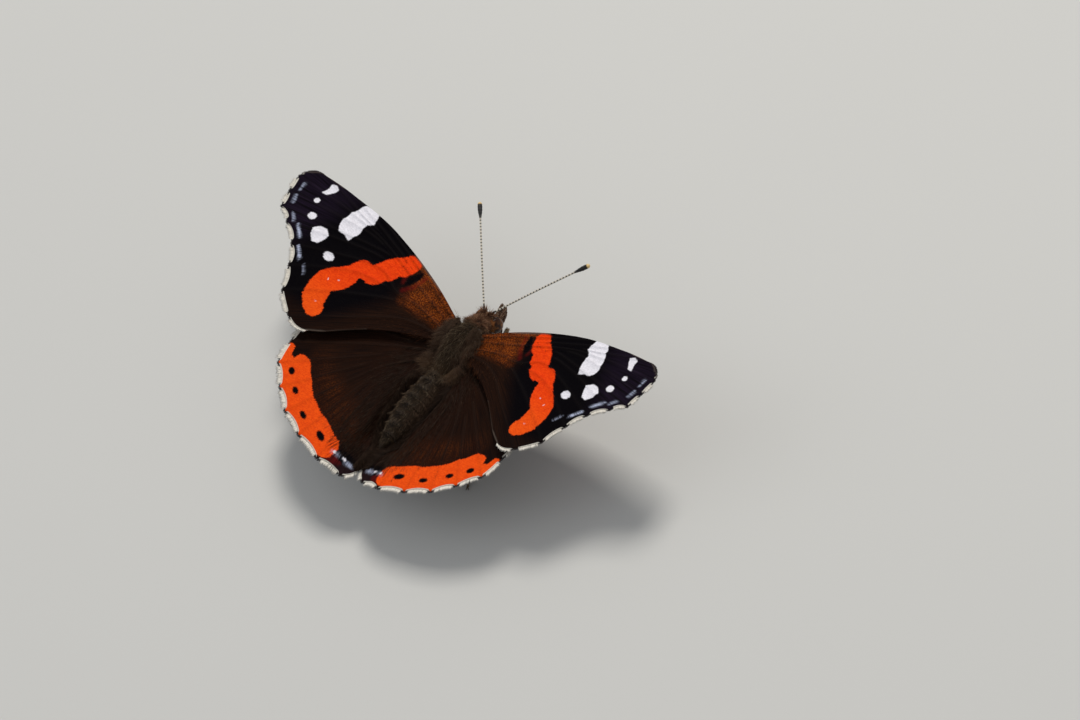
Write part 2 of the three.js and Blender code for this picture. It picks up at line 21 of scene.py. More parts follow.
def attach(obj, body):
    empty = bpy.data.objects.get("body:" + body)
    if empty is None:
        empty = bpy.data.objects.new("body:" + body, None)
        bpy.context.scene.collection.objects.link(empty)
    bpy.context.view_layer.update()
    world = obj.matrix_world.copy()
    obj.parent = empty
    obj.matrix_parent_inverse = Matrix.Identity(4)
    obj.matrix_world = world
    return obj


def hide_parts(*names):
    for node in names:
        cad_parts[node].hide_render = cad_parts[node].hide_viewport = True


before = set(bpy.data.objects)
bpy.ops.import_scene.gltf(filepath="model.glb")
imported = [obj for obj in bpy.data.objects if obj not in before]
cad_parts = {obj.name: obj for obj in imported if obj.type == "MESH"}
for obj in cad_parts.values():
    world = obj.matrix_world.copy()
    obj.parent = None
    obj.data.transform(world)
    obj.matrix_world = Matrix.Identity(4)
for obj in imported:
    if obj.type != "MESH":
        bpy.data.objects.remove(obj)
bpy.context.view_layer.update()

log = logging.getLogger("red_admiral")

MM = 0.001
BODY_ORIGIN = np.array([0.0, -4.0, 8.8])
SEED = 2611
BAKE_MAP = "OFBake"
BAKE_PATCH = 0.003

Pair = tuple[float, float]
Triple = tuple[float, float, float]
Colour = tuple[float, float, float, float]
Array = np.ndarray
Material = bpy.types.Material
Tree = bpy.types.NodeTree
Socket = bpy.types.NodeSocket
Node = bpy.types.Node


class Side(Enum):
    """The butterfly's own left or right, with the sign of its x."""

    LEFT = 1
    RIGHT = -1

    @property
    def label(self) -> str:
        """The word used in node and piece names."""
        return self.name.lower()


class Slot(Enum):
    """The material slots of the part's record."""

    WING = "wing"
    THORAX = "thorax"
    ABDOMEN = "abdomen"
    HEAD = "head"
    EYE = "eye"
    ANTENNA = "antenna"
    LEG = "leg"


# Small sums on arrays of places


def unit(vectors: Array) -> Array:
    """Vectors of length one along the last axis."""
    return vectors / np.maximum(norm(vectors, axis=-1, keepdims=True), 1e-9)


def eased(value: Array, low: float, high: float) -> Array:
    """Smooth rise from 0 at low to 1 at high."""
    t = np.clip((value - low) / (high - low), 0.0, 1.0)
    return t * t * (3.0 - 2.0 * t)


def srgb(red: int, green: int, blue: int) -> Colour:
    """Shader colour of a colour given as it shows on a screen, 0 to 255."""
    parts = [v / 255.0 for v in (red, green, blue)]
    linear = [v / 12.92 if v <= 0.04045 else ((v + 0.055) / 1.055) ** 2.4 for v in parts]
    return (linear[0], linear[1], linear[2], 1.0)


def distance_to_line(places: Array, line: Array) -> Array:
    """Distance from each place to a line of straight stretches.

    Args:
        places: places in a plane, one a row.
        line: the line's points, one a row.

    Returns:
        One distance for each place.
    """
    start, way = line[:-1], np.diff(line, axis=0)
    reach = places[:, None, :] - start[None]
    share = np.clip((reach * way[None]).sum(2) / np.maximum((way * way).sum(1), 1e-9), 0.0, 1.0)
    return norm(reach - share[..., None] * way[None], axis=2).min(1)


def depth_in_outline(places: Array, outline: tuple[Pair, ...]) -> Array:
    """How far each place lies inside a closed outline.

    Args:
        places: places in a plane, one a row.
        outline: corners of the outline in order.

    Returns:
        Distances to the outline, positive inside and negative outside.
    """
    corners = np.array(outline + outline[:1], float)
    x, y = places[:, :1], places[:, 1:]
    (x0, y0), (x1, y1) = corners[:-1].T, corners[1:].T
    crosses = (y0 > y) != (y1 > y)
    reach = x0 + (y - y0) * (x1 - x0) / np.where(np.abs(y1 - y0) < 1e-9, 1e-9, y1 - y0)
    inside = (crosses & (x < reach)).sum(1) % 2 == 1
    return distance_to_line(places, corners) * np.where(inside, 1.0, -1.0)


@dataclass(frozen=True)
class Spot:
    """An oval mark: its middle, its half sizes and the turn of its long side in degrees."""

    middle: Pair
    half: Pair
    turn: float = 0.0

    def depth(self, places: Array) -> Array:
        """How far each place lies inside the spot, negative outside."""
        angle = math.radians(self.turn)
        along, across = (math.cos(angle), math.sin(angle)), (-math.sin(angle), math.cos(angle))
        reach = places - np.array(self.middle)
        share = np.hypot(reach @ np.array(along) / self.half[0], reach @ np.array(across) / self.half[1])
        return (1.0 - share) * min(self.half)


@dataclass(frozen=True)
class Streak:
    """A soft stroke from one place to another, with its half width and strength."""

    start: Pair
    end: Pair
    half_width: float
    strength: float

    def shade(self, places: Array) -> Array:
        """Strength of the stroke at each place, fading to 0 at its sides."""
        away = distance_to_line(places, np.array([self.start, self.end], float))
        return self.strength * (1.0 - eased(away, 0.3 * self.half_width, self.half_width))


# Surfaces in the making


@dataclass
class Shell:
    """A surface in the making: places, faces of equal corners in groups, and what each place carries.

    Its finishes give each group's material by number, and stay empty where it has only one.
    """

    points: Array
    faces: list[Array]
    values: dict[str, Array] = field(default_factory=dict)
    maps: dict[str, Array] = field(default_factory=dict)
    finishes: list[int] = field(default_factory=list)

    def on(self, side: Side) -> "Shell":
        """The surface itself on the left, and on the right its reflection, with faces still outward."""
        if side is Side.LEFT:
            return self
        points = self.points * np.array([-1.0, 1.0, 1.0])
        faces = [group[:, ::-1] for group in self.faces]
        return Shell(points, faces, dict(self.values), dict(self.maps), list(self.finishes))

    def triangles(self) -> Array:
        """All faces cut into triangles."""
        cut = []
        for group in self.faces:
            for k in range(1, group.shape[1] - 1):
                cut.append(group[:, [0, k, k + 1]])
        return np.concatenate(cut)

    def build(self, name: str, materials: list[Material]) -> bpy.types.Object:
        """The surface as an object of the scene, in metres and in its place over the floor.

        Args:
            name: name of the object.
            materials: its finishes, in the order that finishes gives.

        Returns:
            The new object.
        """
        mesh = bpy.data.meshes.new(name)
        mesh.vertices.add(len(self.points))
        mesh.vertices.foreach_set("co", ((self.points + BODY_ORIGIN) * MM).astype(np.float32).ravel())
        corners = np.concatenate([group.ravel() for group in self.faces]).astype(np.int32)
        sizes = np.concatenate([np.full(len(group), group.shape[1]) for group in self.faces])
        mesh.loops.add(len(corners))
        mesh.loops.foreach_set("vertex_index", corners)
        mesh.polygons.add(len(sizes))
        starts = np.concatenate([[0], np.cumsum(sizes)[:-1]]).astype(np.int32)
        mesh.polygons.foreach_set("loop_start", starts)
        if self.finishes:
            chosen = np.concatenate([np.full(len(g), f) for g, f in zip(self.faces, self.finishes)])
            mesh.polygons.foreach_set("material_index", chosen.astype(np.int32))
        mesh.update(calc_edges=True)
        mesh.shade_smooth()
        for key, value in self.values.items():
            mesh.attributes.new(key, "FLOAT", "POINT").data.foreach_set("value", value.astype(np.float32))
        for key, value in self.maps.items():
            mesh.uv_layers.new(name=key).data.foreach_set("uv", value[corners].astype(np.float32).ravel())
        for material in materials:
            mesh.materials.append(material)
        made = bpy.data.objects.new(name, mesh)
        bpy.context.scene.collection.objects.link(made)
        return made

    def dress(self, name: str, slot: Slot, materials: list[Material], *nodes: str) -> None:
        """Builds the surface as a piece that rides on the model.

        Args:
            name: name of the piece.
            slot: the record's slot for its finish; not used.
            materials: its finishes, in the order that finishes gives.
            nodes: the nodes that it replaces, if any.
        """
        made = self.build(name, materials)
        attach(made, "root")
        if nodes:
            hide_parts(*nodes)
        log.info("%s: %d faces", made.name, len(made.data.polygons))


def joined(shells: list[Shell]) -> Shell:
    """Several surfaces of one finish as one, each keeping what its places carry.

    Args:
        shells: surfaces that carry the same values and maps.

    Returns:
        One surface holding them all.
    """
    starts = np.cumsum([0] + [len(s.points) for s in shells])
    faces = [group + start for s, start in zip(shells, starts) for group in s.faces]
    values = {k: np.concatenate([s.values[k] for s in shells]) for k in shells[0].values}
    maps = {k: np.concatenate([s.maps[k] for s in shells]) for k in shells[0].maps}
    return Shell(np.concatenate([s.points for s in shells]), faces, values, maps)


def along_curve(points: list[Triple], steps: int) -> Array:
    """Evenly spread places on a smooth line through the points.

    Args:
        points: the places that the line goes through.
        steps: number of stretches between the places given back.

    Returns:
        steps + 1 places.
    """
    given = np.array(points, float)
    if len(given) == 2:
        share = np.linspace(0.0, 1.0, steps + 1)[:, None]
        return given[0] * (1.0 - share) + given[1] * share
    return spread_evenly(catmull(given, 60), np.linspace(0.0, 1.0, steps + 1))


def catmull(given: Array, steps: int) -> Array:
    """A smooth line through the given points, with that many steps between each two."""
    padded = np.concatenate([given[:1], given, given[-1:]])
    t = np.linspace(0.0, 1.0, steps, endpoint=False)[:, None]
    parts = []
    for k in range(len(given) - 1):
        p0, p1, p2, p3 = padded[k : k + 4]
        leave, arrive = (p2 - p0) / 2.0, (p3 - p1) / 2.0
        cubic = (2 * p1 - 2 * p2 + leave + arrive) * t**3 + (3 * p2 - 3 * p1 - 2 * leave - arrive) * t**2
        parts.append(cubic + leave * t + p1)
    return np.concatenate(parts + [given[-1:]])


def spread_evenly(line: Array, fractions: Array) -> Array:
    """Places at these fractions of a line's length."""
    reach = np.concatenate([[0.0], np.cumsum(norm(np.diff(line, axis=0), axis=1))])
    at = fractions * reach[-1]
    return np.stack([np.interp(at, reach, line[:, k]) for k in range(line.shape[1])], axis=1)


def ring_quads(rings: int, sides: int) -> Array:
    """Four-cornered faces between rings of places that follow one another."""
    ring = np.arange(rings - 1)[:, None] * sides
    this, after = np.arange(sides), (np.arange(sides) + 1) % sides
    quads = np.stack([ring + this, ring + after, ring + sides + after, ring + sides + this], axis=2)
    return quads.reshape(-1, 4)


def tube(
    path: Array, half_widths: Array, half_heights: Array, sides: int, across: Array | None = None
) -> Shell:
    """A closed tube round a path, with rounded ends where the sizes there are small.

    Args:
        path: places along the middle of the tube.
        half_widths: half width at each place, level and across the path.
        half_heights: half height at each place.
        sides: corners round the tube.
        across: the way across the path at each place, or None for the level one.

    Returns:
        The tube, carrying its share along the path as along.
    """
    tangent = unit(np.gradient(path, axis=0))
    if across is None:
        across = unit(np.cross(np.array([0.0, 0.0, 1.0]), tangent) + np.array([1e-6, 0.0, 0.0]))
        for k in range(1, len(across)):
            if across[k] @ across[k - 1] < 0.0:
                across[k] = -across[k]
    up = np.cross(tangent, across)
    angle = (np.arange(sides) / sides) * 2.0 * math.pi
    rings = path[:, None] + across[:, None] * (half_widths[:, None] * np.cos(angle))[..., None]
    rings = rings + up[:, None] * (half_heights[:, None] * np.sin(angle))[..., None]
    count = len(path)
    points = np.concatenate([rings.reshape(-1, 3), path[:1], path[-1:]])
    this, after = np.arange(sides), (np.arange(sides) + 1) % sides
    first, last = count * sides, count * sides + 1
    top = (count - 1) * sides
    front = np.stack([np.full(sides, first), after, this], axis=1)
    rear = np.stack([np.full(sides, last), top + this, top + after], axis=1)
    along = np.concatenate([np.repeat(np.linspace(0.0, 1.0, count), sides), [0.0, 1.0]])
    faces = [ring_quads(count, sides), np.concatenate([front, rear])]
    return Shell(points, faces, {"along": along})


def round_ended(count: int, radius: float, length: float) -> Array:
    """Shares of a tube's radius that round off its two ends over one radius of length."""
    place = np.linspace(0.0, 1.0, count) * length
    near = np.minimum(place, length - place)
    return np.sqrt(np.clip(1.0 - (1.0 - np.clip(near / radius, 0.0, 1.0)) ** 2, 0.0, 1.0)) * 0.97 + 0.03


def blob(middle: Triple, half: Triple, rings: int, sides: int, egg: float = 0.0) -> Shell:
    """A rounded body that may be a little fuller towards the front.

    Args:
        middle: its middle.
        half: its half sizes.
        rings: rings from the bottom to the top.
        sides: corners round each ring.
        egg: how much wider the front is than the rear.

    Returns:
        The closed surface.
    """
    polar = np.linspace(0.02, math.pi - 0.02, rings)
    angle = (np.arange(sides) / sides) * 2.0 * math.pi
    x = np.sin(polar)[:, None] * np.cos(angle)
    y = np.sin(polar)[:, None] * np.sin(angle)
    z = np.repeat(-np.cos(polar)[:, None], sides, axis=1)
    points = np.stack([x * (1.0 - egg * y), y, z], axis=2).reshape(-1, 3) * np.array(half) + np.array(middle)
    ends = [np.arange(sides)[None, ::-1], (rings - 1) * sides + np.arange(sides)[None]]
    return Shell(points, [ring_quads(rings, sides), *ends])


# Hairs and scales


@dataclass(frozen=True)
class TuftCut:
    """How one kind of hair or scale is cut, and how it lies on the skin.

    Attributes: length, lift off the skin in degrees, tangle, the spread of its direction in degrees,
    share that lengths differ by, width, thickness, and droop of the tip as a share of the length.
    """

    length: float
    lift: float
    tangle: float
    differ: float = 0.5
    width: float = 0.05
    thickness: float = 0.035
    droop: float = 0.05


@dataclass
class Roots:
    """Where tufts grow: places on the skin, outward normals, and each root's place on the unwrap."""

    places: Array
    normals: Array
    unwrap: Array

    def kept(self, keep: Array) -> "Roots":
        """The roots for which keep holds."""
        return Roots(self.places[keep], self.normals[keep], self.unwrap[keep])


def rolled_off(sideways: Array, upward: Array, along: Array) -> Array:
    """Places on an unwrap that is rolled off round a long axis, a little inside its rim."""
    around = np.arctan2(sideways, upward) / (2.0 * math.pi) + 0.5
    return columns([around, along]) * 0.96 + 0.02


def scattered(shell: Shell, count: int, seed: int) -> tuple[Array, Array]:
    """Places spread at random over a surface, evenly by its area.

    Args:
        shell: the surface.
        count: number of places wanted.
        seed: seed of the random draw.

    Returns:
        The places, and the outward normal at each.
    """
    draw = np.random.default_rng(seed)
    triangles = shell.triangles()
    a, b, c = (shell.points[triangles[:, k]] for k in range(3))
    cross = np.cross(b - a, c - a)
    area = norm(cross, axis=1)
    chosen = draw.choice(len(triangles), count, p=area / area.sum())
    u, v = draw.random((2, count, 1))
    flip = (u + v) > 1.0
    u, v = np.where(flip, 1.0 - u, u), np.where(flip, 1.0 - v, v)
    places = a[chosen] + (b - a)[chosen] * u + (c - a)[chosen] * v
    return places, unit(cross[chosen])


def grown(roots: Roots, lie: Array, cut: TuftCut, scale: Array, seed: int) -> Shell:
    """Solid tapered tufts on the skin, each with three sides.

    Args:
        roots: where they grow.
        lie: the way that the coat lies at each root.
        cut: the kind of tuft.
        scale: share of the cut's length at each root.
        seed: seed of the random draw.

    Returns:
        The tufts, carrying along (0 at the root to 1 at the tip), shade (one random number a tuft)
        and the bake map.
    """
    draw = np.random.default_rng(seed)
    count = len(roots.places)
    normal = roots.normals
    level = unit(lie - (lie * normal).sum(1, keepdims=True) * normal)
    beside = np.cross(normal, level)
    turn = np.radians(draw.normal(0.0, cut.tangle, count))[:, None]
    rise = np.radians(cut.lift * draw.uniform(0.55, 1.45, count))[:, None]
    way = (level * np.cos(turn) + beside * np.sin(turn)) * np.cos(rise) + normal * np.sin(rise)
    across = unit(np.cross(way, normal))
    thin = np.cross(across, way)
    length = (cut.length * scale * draw.uniform(1.0 - cut.differ, 1.0, count))[:, None]
    start = roots.places - normal * 0.6 * cut.thickness
    middle = start + way * length * 0.55 - normal * length * cut.droop * 0.3
    tip = start + way * length - normal * length * cut.droop
    places = []
    for centre, share in ((start, 1.0), (middle, 0.78)):
        for angle in (0.5, 7.0 / 6.0, 11.0 / 6.0):
            side = across * math.cos(angle * math.pi) * cut.width
            side = side + thin * math.sin(angle * math.pi) * cut.thickness
            places.append(centre + side * 0.5 * share)
    points = np.stack(places + [tip], axis=1)
    first = (np.arange(count) * 7)[:, None]
    quads = np.concatenate([first + np.array(c) for c in ((0, 1, 4, 3), (1, 2, 5, 4), (2, 0, 3, 5))])
    ends = np.concatenate([first + np.array(c) for c in ((0, 2, 1), (3, 4, 6), (4, 5, 6), (5, 3, 6))])
    along = np.tile([0.0, 0.0, 0.0, 0.55, 0.55, 0.55, 1.0], count)
    shade = np.repeat(draw.random(count), 7)
    patch = ((-0.5, -0.5), (0.5, -0.5), (0.0, -0.4), (-0.4, 0.1), (0.4, 0.1), (0.0, 0.2), (0.0, 0.5))
    unwrap = (roots.unwrap[:, None] + np.array(patch)[None] * BAKE_PATCH).reshape(-1, 2)
    values = {"along": along, "shade": shade}
    return Shell(points.reshape(-1, 3), [quads, ends], values, {BAKE_MAP: unwrap})


# Finishes


class NodeBench:
    """Places and joins the nodes of one shader tree."""

    def __init__(self, tree: Tree) -> None:
        """Starts on an empty tree."""
        self.tree = tree
        tree.nodes.clear()

    def node(self, kind: str, inputs: dict | None = None, **settings: object) -> Node:
        """A new node.

        Args:
            kind: Blender's name of the node type.
            inputs: values or sockets for its inputs, by name or number.
            settings: properties of the node.

        Returns:
            The node.
        """
        made = self.tree.nodes.new(kind)
        for key, value in settings.items():
            setattr(made, key, value)
        for key, value in (inputs or {}).items():
            self.feed(made.inputs[key], value)
        return made

    def feed(self, socket: Socket, value: object) -> None:
        """Joins a socket to an input, or sets a plain value on it."""
        if isinstance(value, Socket):
            self.tree.links.new(value, socket)
        else:
            socket.default_value = value

    def carried(self, name: str) -> Socket:
        """A number that the mesh carries on its points."""
        return self.node("ShaderNodeAttribute", attribute_name=name).outputs["Fac"]

    def sum(self, operation: str, first: object, second: object, clamp: bool = False) -> Socket:
        """One sum on two numbers."""
        inputs = {0: first, 1: second}
        return self.node("ShaderNodeMath", inputs, operation=operation, use_clamp=clamp).outputs[0]

    def times(self, first: object, second: object, clamp: bool = False) -> Socket:
        """One number times another."""
        return self.sum("MULTIPLY", first, second, clamp)

    def rise(self, value: object, low: object, high: object) -> Socket:
        """Smooth rise from 0 at low to 1 at high."""
        inputs = {"Value": value, "From Min": low, "From Max": high}
        return self.node("ShaderNodeMapRange", inputs, interpolation_type="SMOOTHSTEP").outputs["Result"]

    def span(self, value: object, low: float, high: float) -> Socket:
        """A share from 0 to 1 spread between two numbers."""
        inputs = {"Value": value, "To Min": low, "To Max": high}
        return self.node("ShaderNodeMapRange", inputs).outputs["Result"]

    def mix(self, share: object, first: object, second: object, kind: str = "MIX") -> Socket:
        """Two colours mixed by a share."""
        inputs = {0: share, 6: first, 7: second}
        return self.node("ShaderNodeMix", inputs, data_type="RGBA", blend_type=kind).outputs[2]

    def toned(self, colour: Socket, tone: Socket) -> Socket:
        """A colour made lighter or darker by a tone."""
        grey = self.node("ShaderNodeCombineColor", {0: tone, 1: tone, 2: tone}).outputs[0]
        return self.mix(1.0, colour, grey, "MULTIPLY")

    def stretched(self, vector: Socket, scale: Triple) -> Socket:
        """A place multiplied along each axis."""
        return self.node("ShaderNodeMapping", {"Vector": vector, "Scale": scale}).outputs["Vector"]

    def noise(self, vector: Socket, scale: object, detail: float = 2.0) -> Socket:
        """Soft random values over the surface."""
        inputs = {"Vector": vector, "Scale": scale, "Detail": detail}
        return self.node("ShaderNodeTexNoise", inputs).outputs["Fac"]

    def cells(self, vector: Socket, scale: object) -> Node:
        """Small cells over the surface, with each one's distance and colour."""
        return self.node("ShaderNodeTexVoronoi", {"Vector": vector, "Scale": scale})

    def in_millimetres(self) -> Socket:
        """The place on the object in millimetres."""
        place = self.node("ShaderNodeTexCoord").outputs["Object"]
        return self.stretched(place, (1.0 / MM, 1.0 / MM, 1.0 / MM))

    def unwrapped(self, name: str) -> Socket:
        """The place on one of the mesh's maps."""
        return self.node("ShaderNodeUVMap", uv_map=name).outputs["UV"]

    def placed(self, group: Tree, inputs: dict) -> Node:
        """A shared group, with its inputs."""
        return self.node("ShaderNodeGroup", inputs, node_tree=group)


def new_group(
    name: str, inputs: dict[str, str], outputs: dict[str, str]
) -> tuple[NodeBench, bpy.types.NodeOutputs]:
    """An empty shader node group.

    Args:
        name: its name.
        inputs: kind of each input, by name.
        outputs: kind of each output, by name.

    Returns:
        The bench that holds its nodes, and its inputs as sockets by name.
    """
    tree = bpy.data.node_groups.new(name, "ShaderNodeTree")
    for key, kind in inputs.items():
        tree.interface.new_socket(name=key, in_out="INPUT", socket_type=kind)
    for key, kind in outputs.items():
        tree.interface.new_socket(name=key, in_out="OUTPUT", socket_type=kind)
    bench = NodeBench(tree)
    return bench, bench.node("NodeGroupInput").outputs


FLOAT, VECTOR, COLOUR = "NodeSocketFloat", "NodeSocketVector", "NodeSocketColor"


@dataclass
class SharedEffects:
    """The node groups that several finishes use."""

    ragged_edge: Tree = field(init=False)
    scale_rows: Tree = field(init=False)
    hair_tone: Tree = field(init=False)
    mottle: Tree = field(init=False)

    def __post_init__(self) -> None:
        """Builds each group once."""
        self.ragged_edge = self.make_ragged_edge()
        self.scale_rows = self.make_scale_rows()
        self.hair_tone = self.make_hair_tone()
        self.mottle = self.make_mottle()

    def mark(self, bench: NodeBench, name: str, ragged: float, soft: float) -> Socket:
        """Mask of one kind of mark on a wing.

        Args:
            bench: the bench of the wing's finish.
            name: the mark's depth, as the mesh carries it.
            ragged: how far its edge is frayed, in millimetres.
            soft: half width of its edge, in millimetres.

        Returns:
            The mask, 1 inside the mark.
        """
        inputs = {"Lie": bench.unwrapped("Lie"), "Plane": bench.unwrapped("Plane")}
        inputs |= {"Depth": bench.carried(name), "Ragged": ragged, "Soft": soft}
        return bench.placed(self.ragged_edge, inputs).outputs["Mask"]

    @staticmethod
    def make_ragged_edge() -> Tree:
        """Turns a depth inside a mark into a mask whose edge is saw-toothed by the rows of scales."""
        inputs = {"Depth": FLOAT, "Lie": VECTOR, "Plane": VECTOR, "Ragged": FLOAT, "Soft": FLOAT}
        bench, given = new_group("ragged_edge", inputs, {"Mask": FLOAT})
        teeth = bench.noise(bench.stretched(given["Lie"], (14.0, 170.0, 1.0)), 1.0)
        dots = bench.noise(given["Plane"], 6.0)
        wander = bench.sum("ADD", bench.times(teeth, 0.6), bench.times(dots, 0.5))
        shift = bench.times(bench.sum("SUBTRACT", wander, 0.55), given["Ragged"])
        depth = bench.sum("ADD", given["Depth"], shift)
        low = bench.times(given["Soft"], -1.0)
        mask = bench.rise(depth, low, given["Soft"])
        bench.node("NodeGroupOutput", {"Mask": mask})
        return bench.tree

    @staticmethod
    def make_scale_rows() -> Tree:
        """Rows of small overlapping scales: a height for bump and a tone for colour."""
        inputs = {"Plane": VECTOR, "Size": FLOAT}
        bench, given = new_group("scale_rows", inputs, {"Height": FLOAT, "Tone": FLOAT})
        shape = bench.stretched(given["Plane"], (5.0, 11.0, 1.0))
        cells = bench.cells(shape, given["Size"])
        random = bench.node("ShaderNodeSeparateColor", {0: cells.outputs["Color"]}).outputs[0]
        height = bench.sum("SUBTRACT", 1.0, cells.outputs["Distance"])
        patches = bench.noise(given["Plane"], 1.4, 3.0)
        tone = bench.sum("ADD", bench.times(random, 0.55), bench.times(patches, 0.45))
        bench.node("NodeGroupOutput", {"Height": height, "Tone": tone})
        return bench.tree

    @staticmethod
    def make_hair_tone() -> Tree:
        """Colour of a tuft from its root to its tip, each tuft a little different."""
        inputs = {"Root": COLOUR, "Tip": COLOUR, "Pale": COLOUR, "Pale Share": FLOAT}
        bench, given = new_group("hair_tone", inputs, {"Colour": COLOUR})
        along, shade = bench.carried("along"), bench.carried("shade")
        share = bench.times(along, bench.span(shade, 0.5, 1.1))
        body = bench.mix(share, given["Root"], given["Tip"])
        grey = bench.rise(shade, bench.sum("SUBTRACT", 1.0, given["Pale Share"]), 1.0)
        mixed = bench.mix(bench.times(grey, along), body, given["Pale"])
        bench.node("NodeGroupOutput", {"Colour": mixed})
        return bench.tree

    @staticmethod
    def make_mottle() -> Tree:
        """Uneven tone of hard skin, and a fine height for bump."""
        inputs = {"Place": VECTOR, "Size": FLOAT}
        bench, given = new_group("mottle", inputs, {"Tone": FLOAT, "Height": FLOAT})
        wide = bench.noise(given["Place"], given["Size"], 4.0)
        fine = bench.noise(given["Place"], bench.times(given["Size"], 9.0))
        height = bench.sum("ADD", bench.times(wide, 0.4), bench.times(fine, 0.6))
        bench.node("NodeGroupOutput", {"Tone": bench.rise(wide, 0.3, 0.7), "Height": height})
        return bench.tree


@dataclass(frozen=True)
class Gloss:
    """Plain numbers of a finish that are the same all over it."""

    roughness: float = 0.7
    specular: float = 0.3
    sheen: float = 0.0
    coat: float = 0.0
    bump: float = 0.03


class Coating(NodeBench):
    """A material in the making: the bench of its nodes, and its shader."""

    def __init__(self, name: str, gloss: Gloss) -> None:
        """Starts on a fresh material.

        Args:
            name: name of the material.
            gloss: numbers for its shader.
        """
        self.material, self.gloss = bpy.data.materials.new(name), gloss
        self.material.use_nodes = True
        super().__init__(self.material.node_tree)
        inputs = {"Roughness": gloss.roughness, "Specular IOR Level": gloss.specular}
        inputs |= {"Sheen Weight": gloss.sheen, "Coat Weight": gloss.coat}
        self.shader = self.node("ShaderNodeBsdfPrincipled", inputs)
        self.node("ShaderNodeOutputMaterial", {"Surface": self.shader.outputs[0]})

    def painted(self, colour: Socket, height: Socket | None = None, rough: Socket | None = None) -> Material:
        """The material with its colour, its bump and its roughness.

        Args:
            colour: its colour.
            height: what stands up, in the range 0 to 1, by the gloss's bump in millimetres.
            rough: its roughness, where it isn't the gloss's own.

        Returns:
            The finished material.
        """
        given = {"Base Color": colour}
        if rough is not None:
            given["Roughness"] = rough
        if height is not None:
            inputs = {"Height": height, "Strength": 1.0, "Distance": self.gloss.bump * MM}
            given["Normal"] = self.node("ShaderNodeBump", inputs).outputs["Normal"]
        for key, value in given.items():
            self.feed(self.shader.inputs[key], value)
        return self.material


@dataclass(frozen=True)
class WingFinish:
    """Colours of the wings' upper side."""

    black: Colour = srgb(3, 1, 4)
    brown: Colour = srgb(38, 19, 9)
    brown_deep: Colour = srgb(17, 7, 5)
    rust: Colour = srgb(90, 33, 10)
    # Bright orange of the base's hairs, lightened further as a painted highlight.
    rust_bright: Colour = srgb(212, 108, 30)
    # Violet over the forewing's dark outer part is a painted sheen; at the hindwing's inner corner it is the
    # wing's purplish scales.
    violet: Colour = srgb(36, 25, 44)
    lavender: Colour = srgb(186, 194, 220)
    crimson: Colour = srgb(112, 18, 14)
    red: Colour = srgb(236, 52, 8)
    orange: Colour = srgb(240, 92, 22)
    white: Colour = srgb(236, 234, 242)
    grey: Colour = srgb(120, 108, 98)
    cream: Colour = srgb(232, 226, 214)
    gloss: Gloss = Gloss(roughness=0.62, specular=0.03, bump=0.03)

    def make(self, effects: SharedEffects) -> Material:
        """The finish as a material.

        Args:
            effects: the shared node groups.

        Returns:
            The material.
        """
        bench = Coating("wing_upper", self.gloss)
        lie, plane = bench.unwrapped("Lie"), bench.unwrapped("Plane")
        rows = bench.placed(effects.scale_rows, {"Plane": plane, "Size": 1.0}).outputs
        streaks = bench.noise(bench.stretched(lie, (5.0, 260.0, 1.0)), 1.0, 3.0)
        brown = bench.mix(bench.rise(streaks, 0.3, 0.7), self.brown_deep, self.brown)
        ground = bench.mix(bench.carried("brown"), self.black, brown)
        specks = bench.noise(plane, 5.5)
        # Bright specks in the rusty base: the hairs' lighter tone, with a painted highlight.
        gold = bench.times(bench.rise(streaks, 0.3, 0.66), bench.rise(specks, 0.42, 0.6))
        rust = bench.mix(gold, self.rust, self.rust_bright)
        vein = bench.carried("vein")
        rust = bench.mix(bench.times(vein, 0.35), rust, self.brown_deep)
        clouds = bench.rise(bench.noise(plane, 0.55, 3.0), 0.3, 0.62)
        uneven = bench.times(bench.span(streaks, 0.1, 1.3), bench.span(clouds, 0.55, 1.1))
        warm = bench.times(bench.carried("warm"), uneven, clamp=True)
        ground = bench.mix(warm, ground, rust)
        # Painted sheen: violet over the dark outer forewing; at the hindwing's inner corner, its purplish
        # scales.
        violet = bench.times(bench.carried("violet"), bench.rise(streaks, 0.3, 0.75))
        ground = bench.mix(violet, ground, self.violet)
        crimson = bench.times(bench.carried("crimson"), bench.rise(streaks, 0.2, 0.6))
        ground = bench.mix(crimson, ground, self.crimson)
        ground = bench.mix(bench.times(vein, 0.02), ground, self.grey)
        orange = bench.sum("ADD", bench.carried("orange"), bench.span(rows["Tone"], -0.25, 0.25), clamp=True)
        band = bench.mix(orange, self.red, self.orange)
        band = bench.mix(bench.times(vein, 0.22), band, self.black)
        colour = bench.mix(effects.mark(bench, "red", 0.75, 0.09), ground, band)
        colour = bench.mix(effects.mark(bench, "black", 0.45, 0.1), colour, self.black)
        blue = bench.times(bench.carried("blue"), bench.rise(streaks, 0.34, 0.56), clamp=True)
        colour = bench.mix(blue, colour, self.lavender)
        white = bench.mix(bench.times(vein, 0.07), self.white, self.black)
        colour = bench.mix(effects.mark(bench, "white", 0.4, 0.08), colour, white)
        colour = bench.mix(bench.carried("rim"), colour, self.grey)
        edge = bench.times(bench.rise(bench.carried("edge"), 0.25, 0.55), 0.9)
        colour = bench.mix(edge, colour, self.cream)
        colour = bench.toned(colour, bench.span(rows["Tone"], 0.78, 1.14))
        return bench.painted(colour, rows["Height"], bench.span(rows["Tone"], 0.5, 0.78))


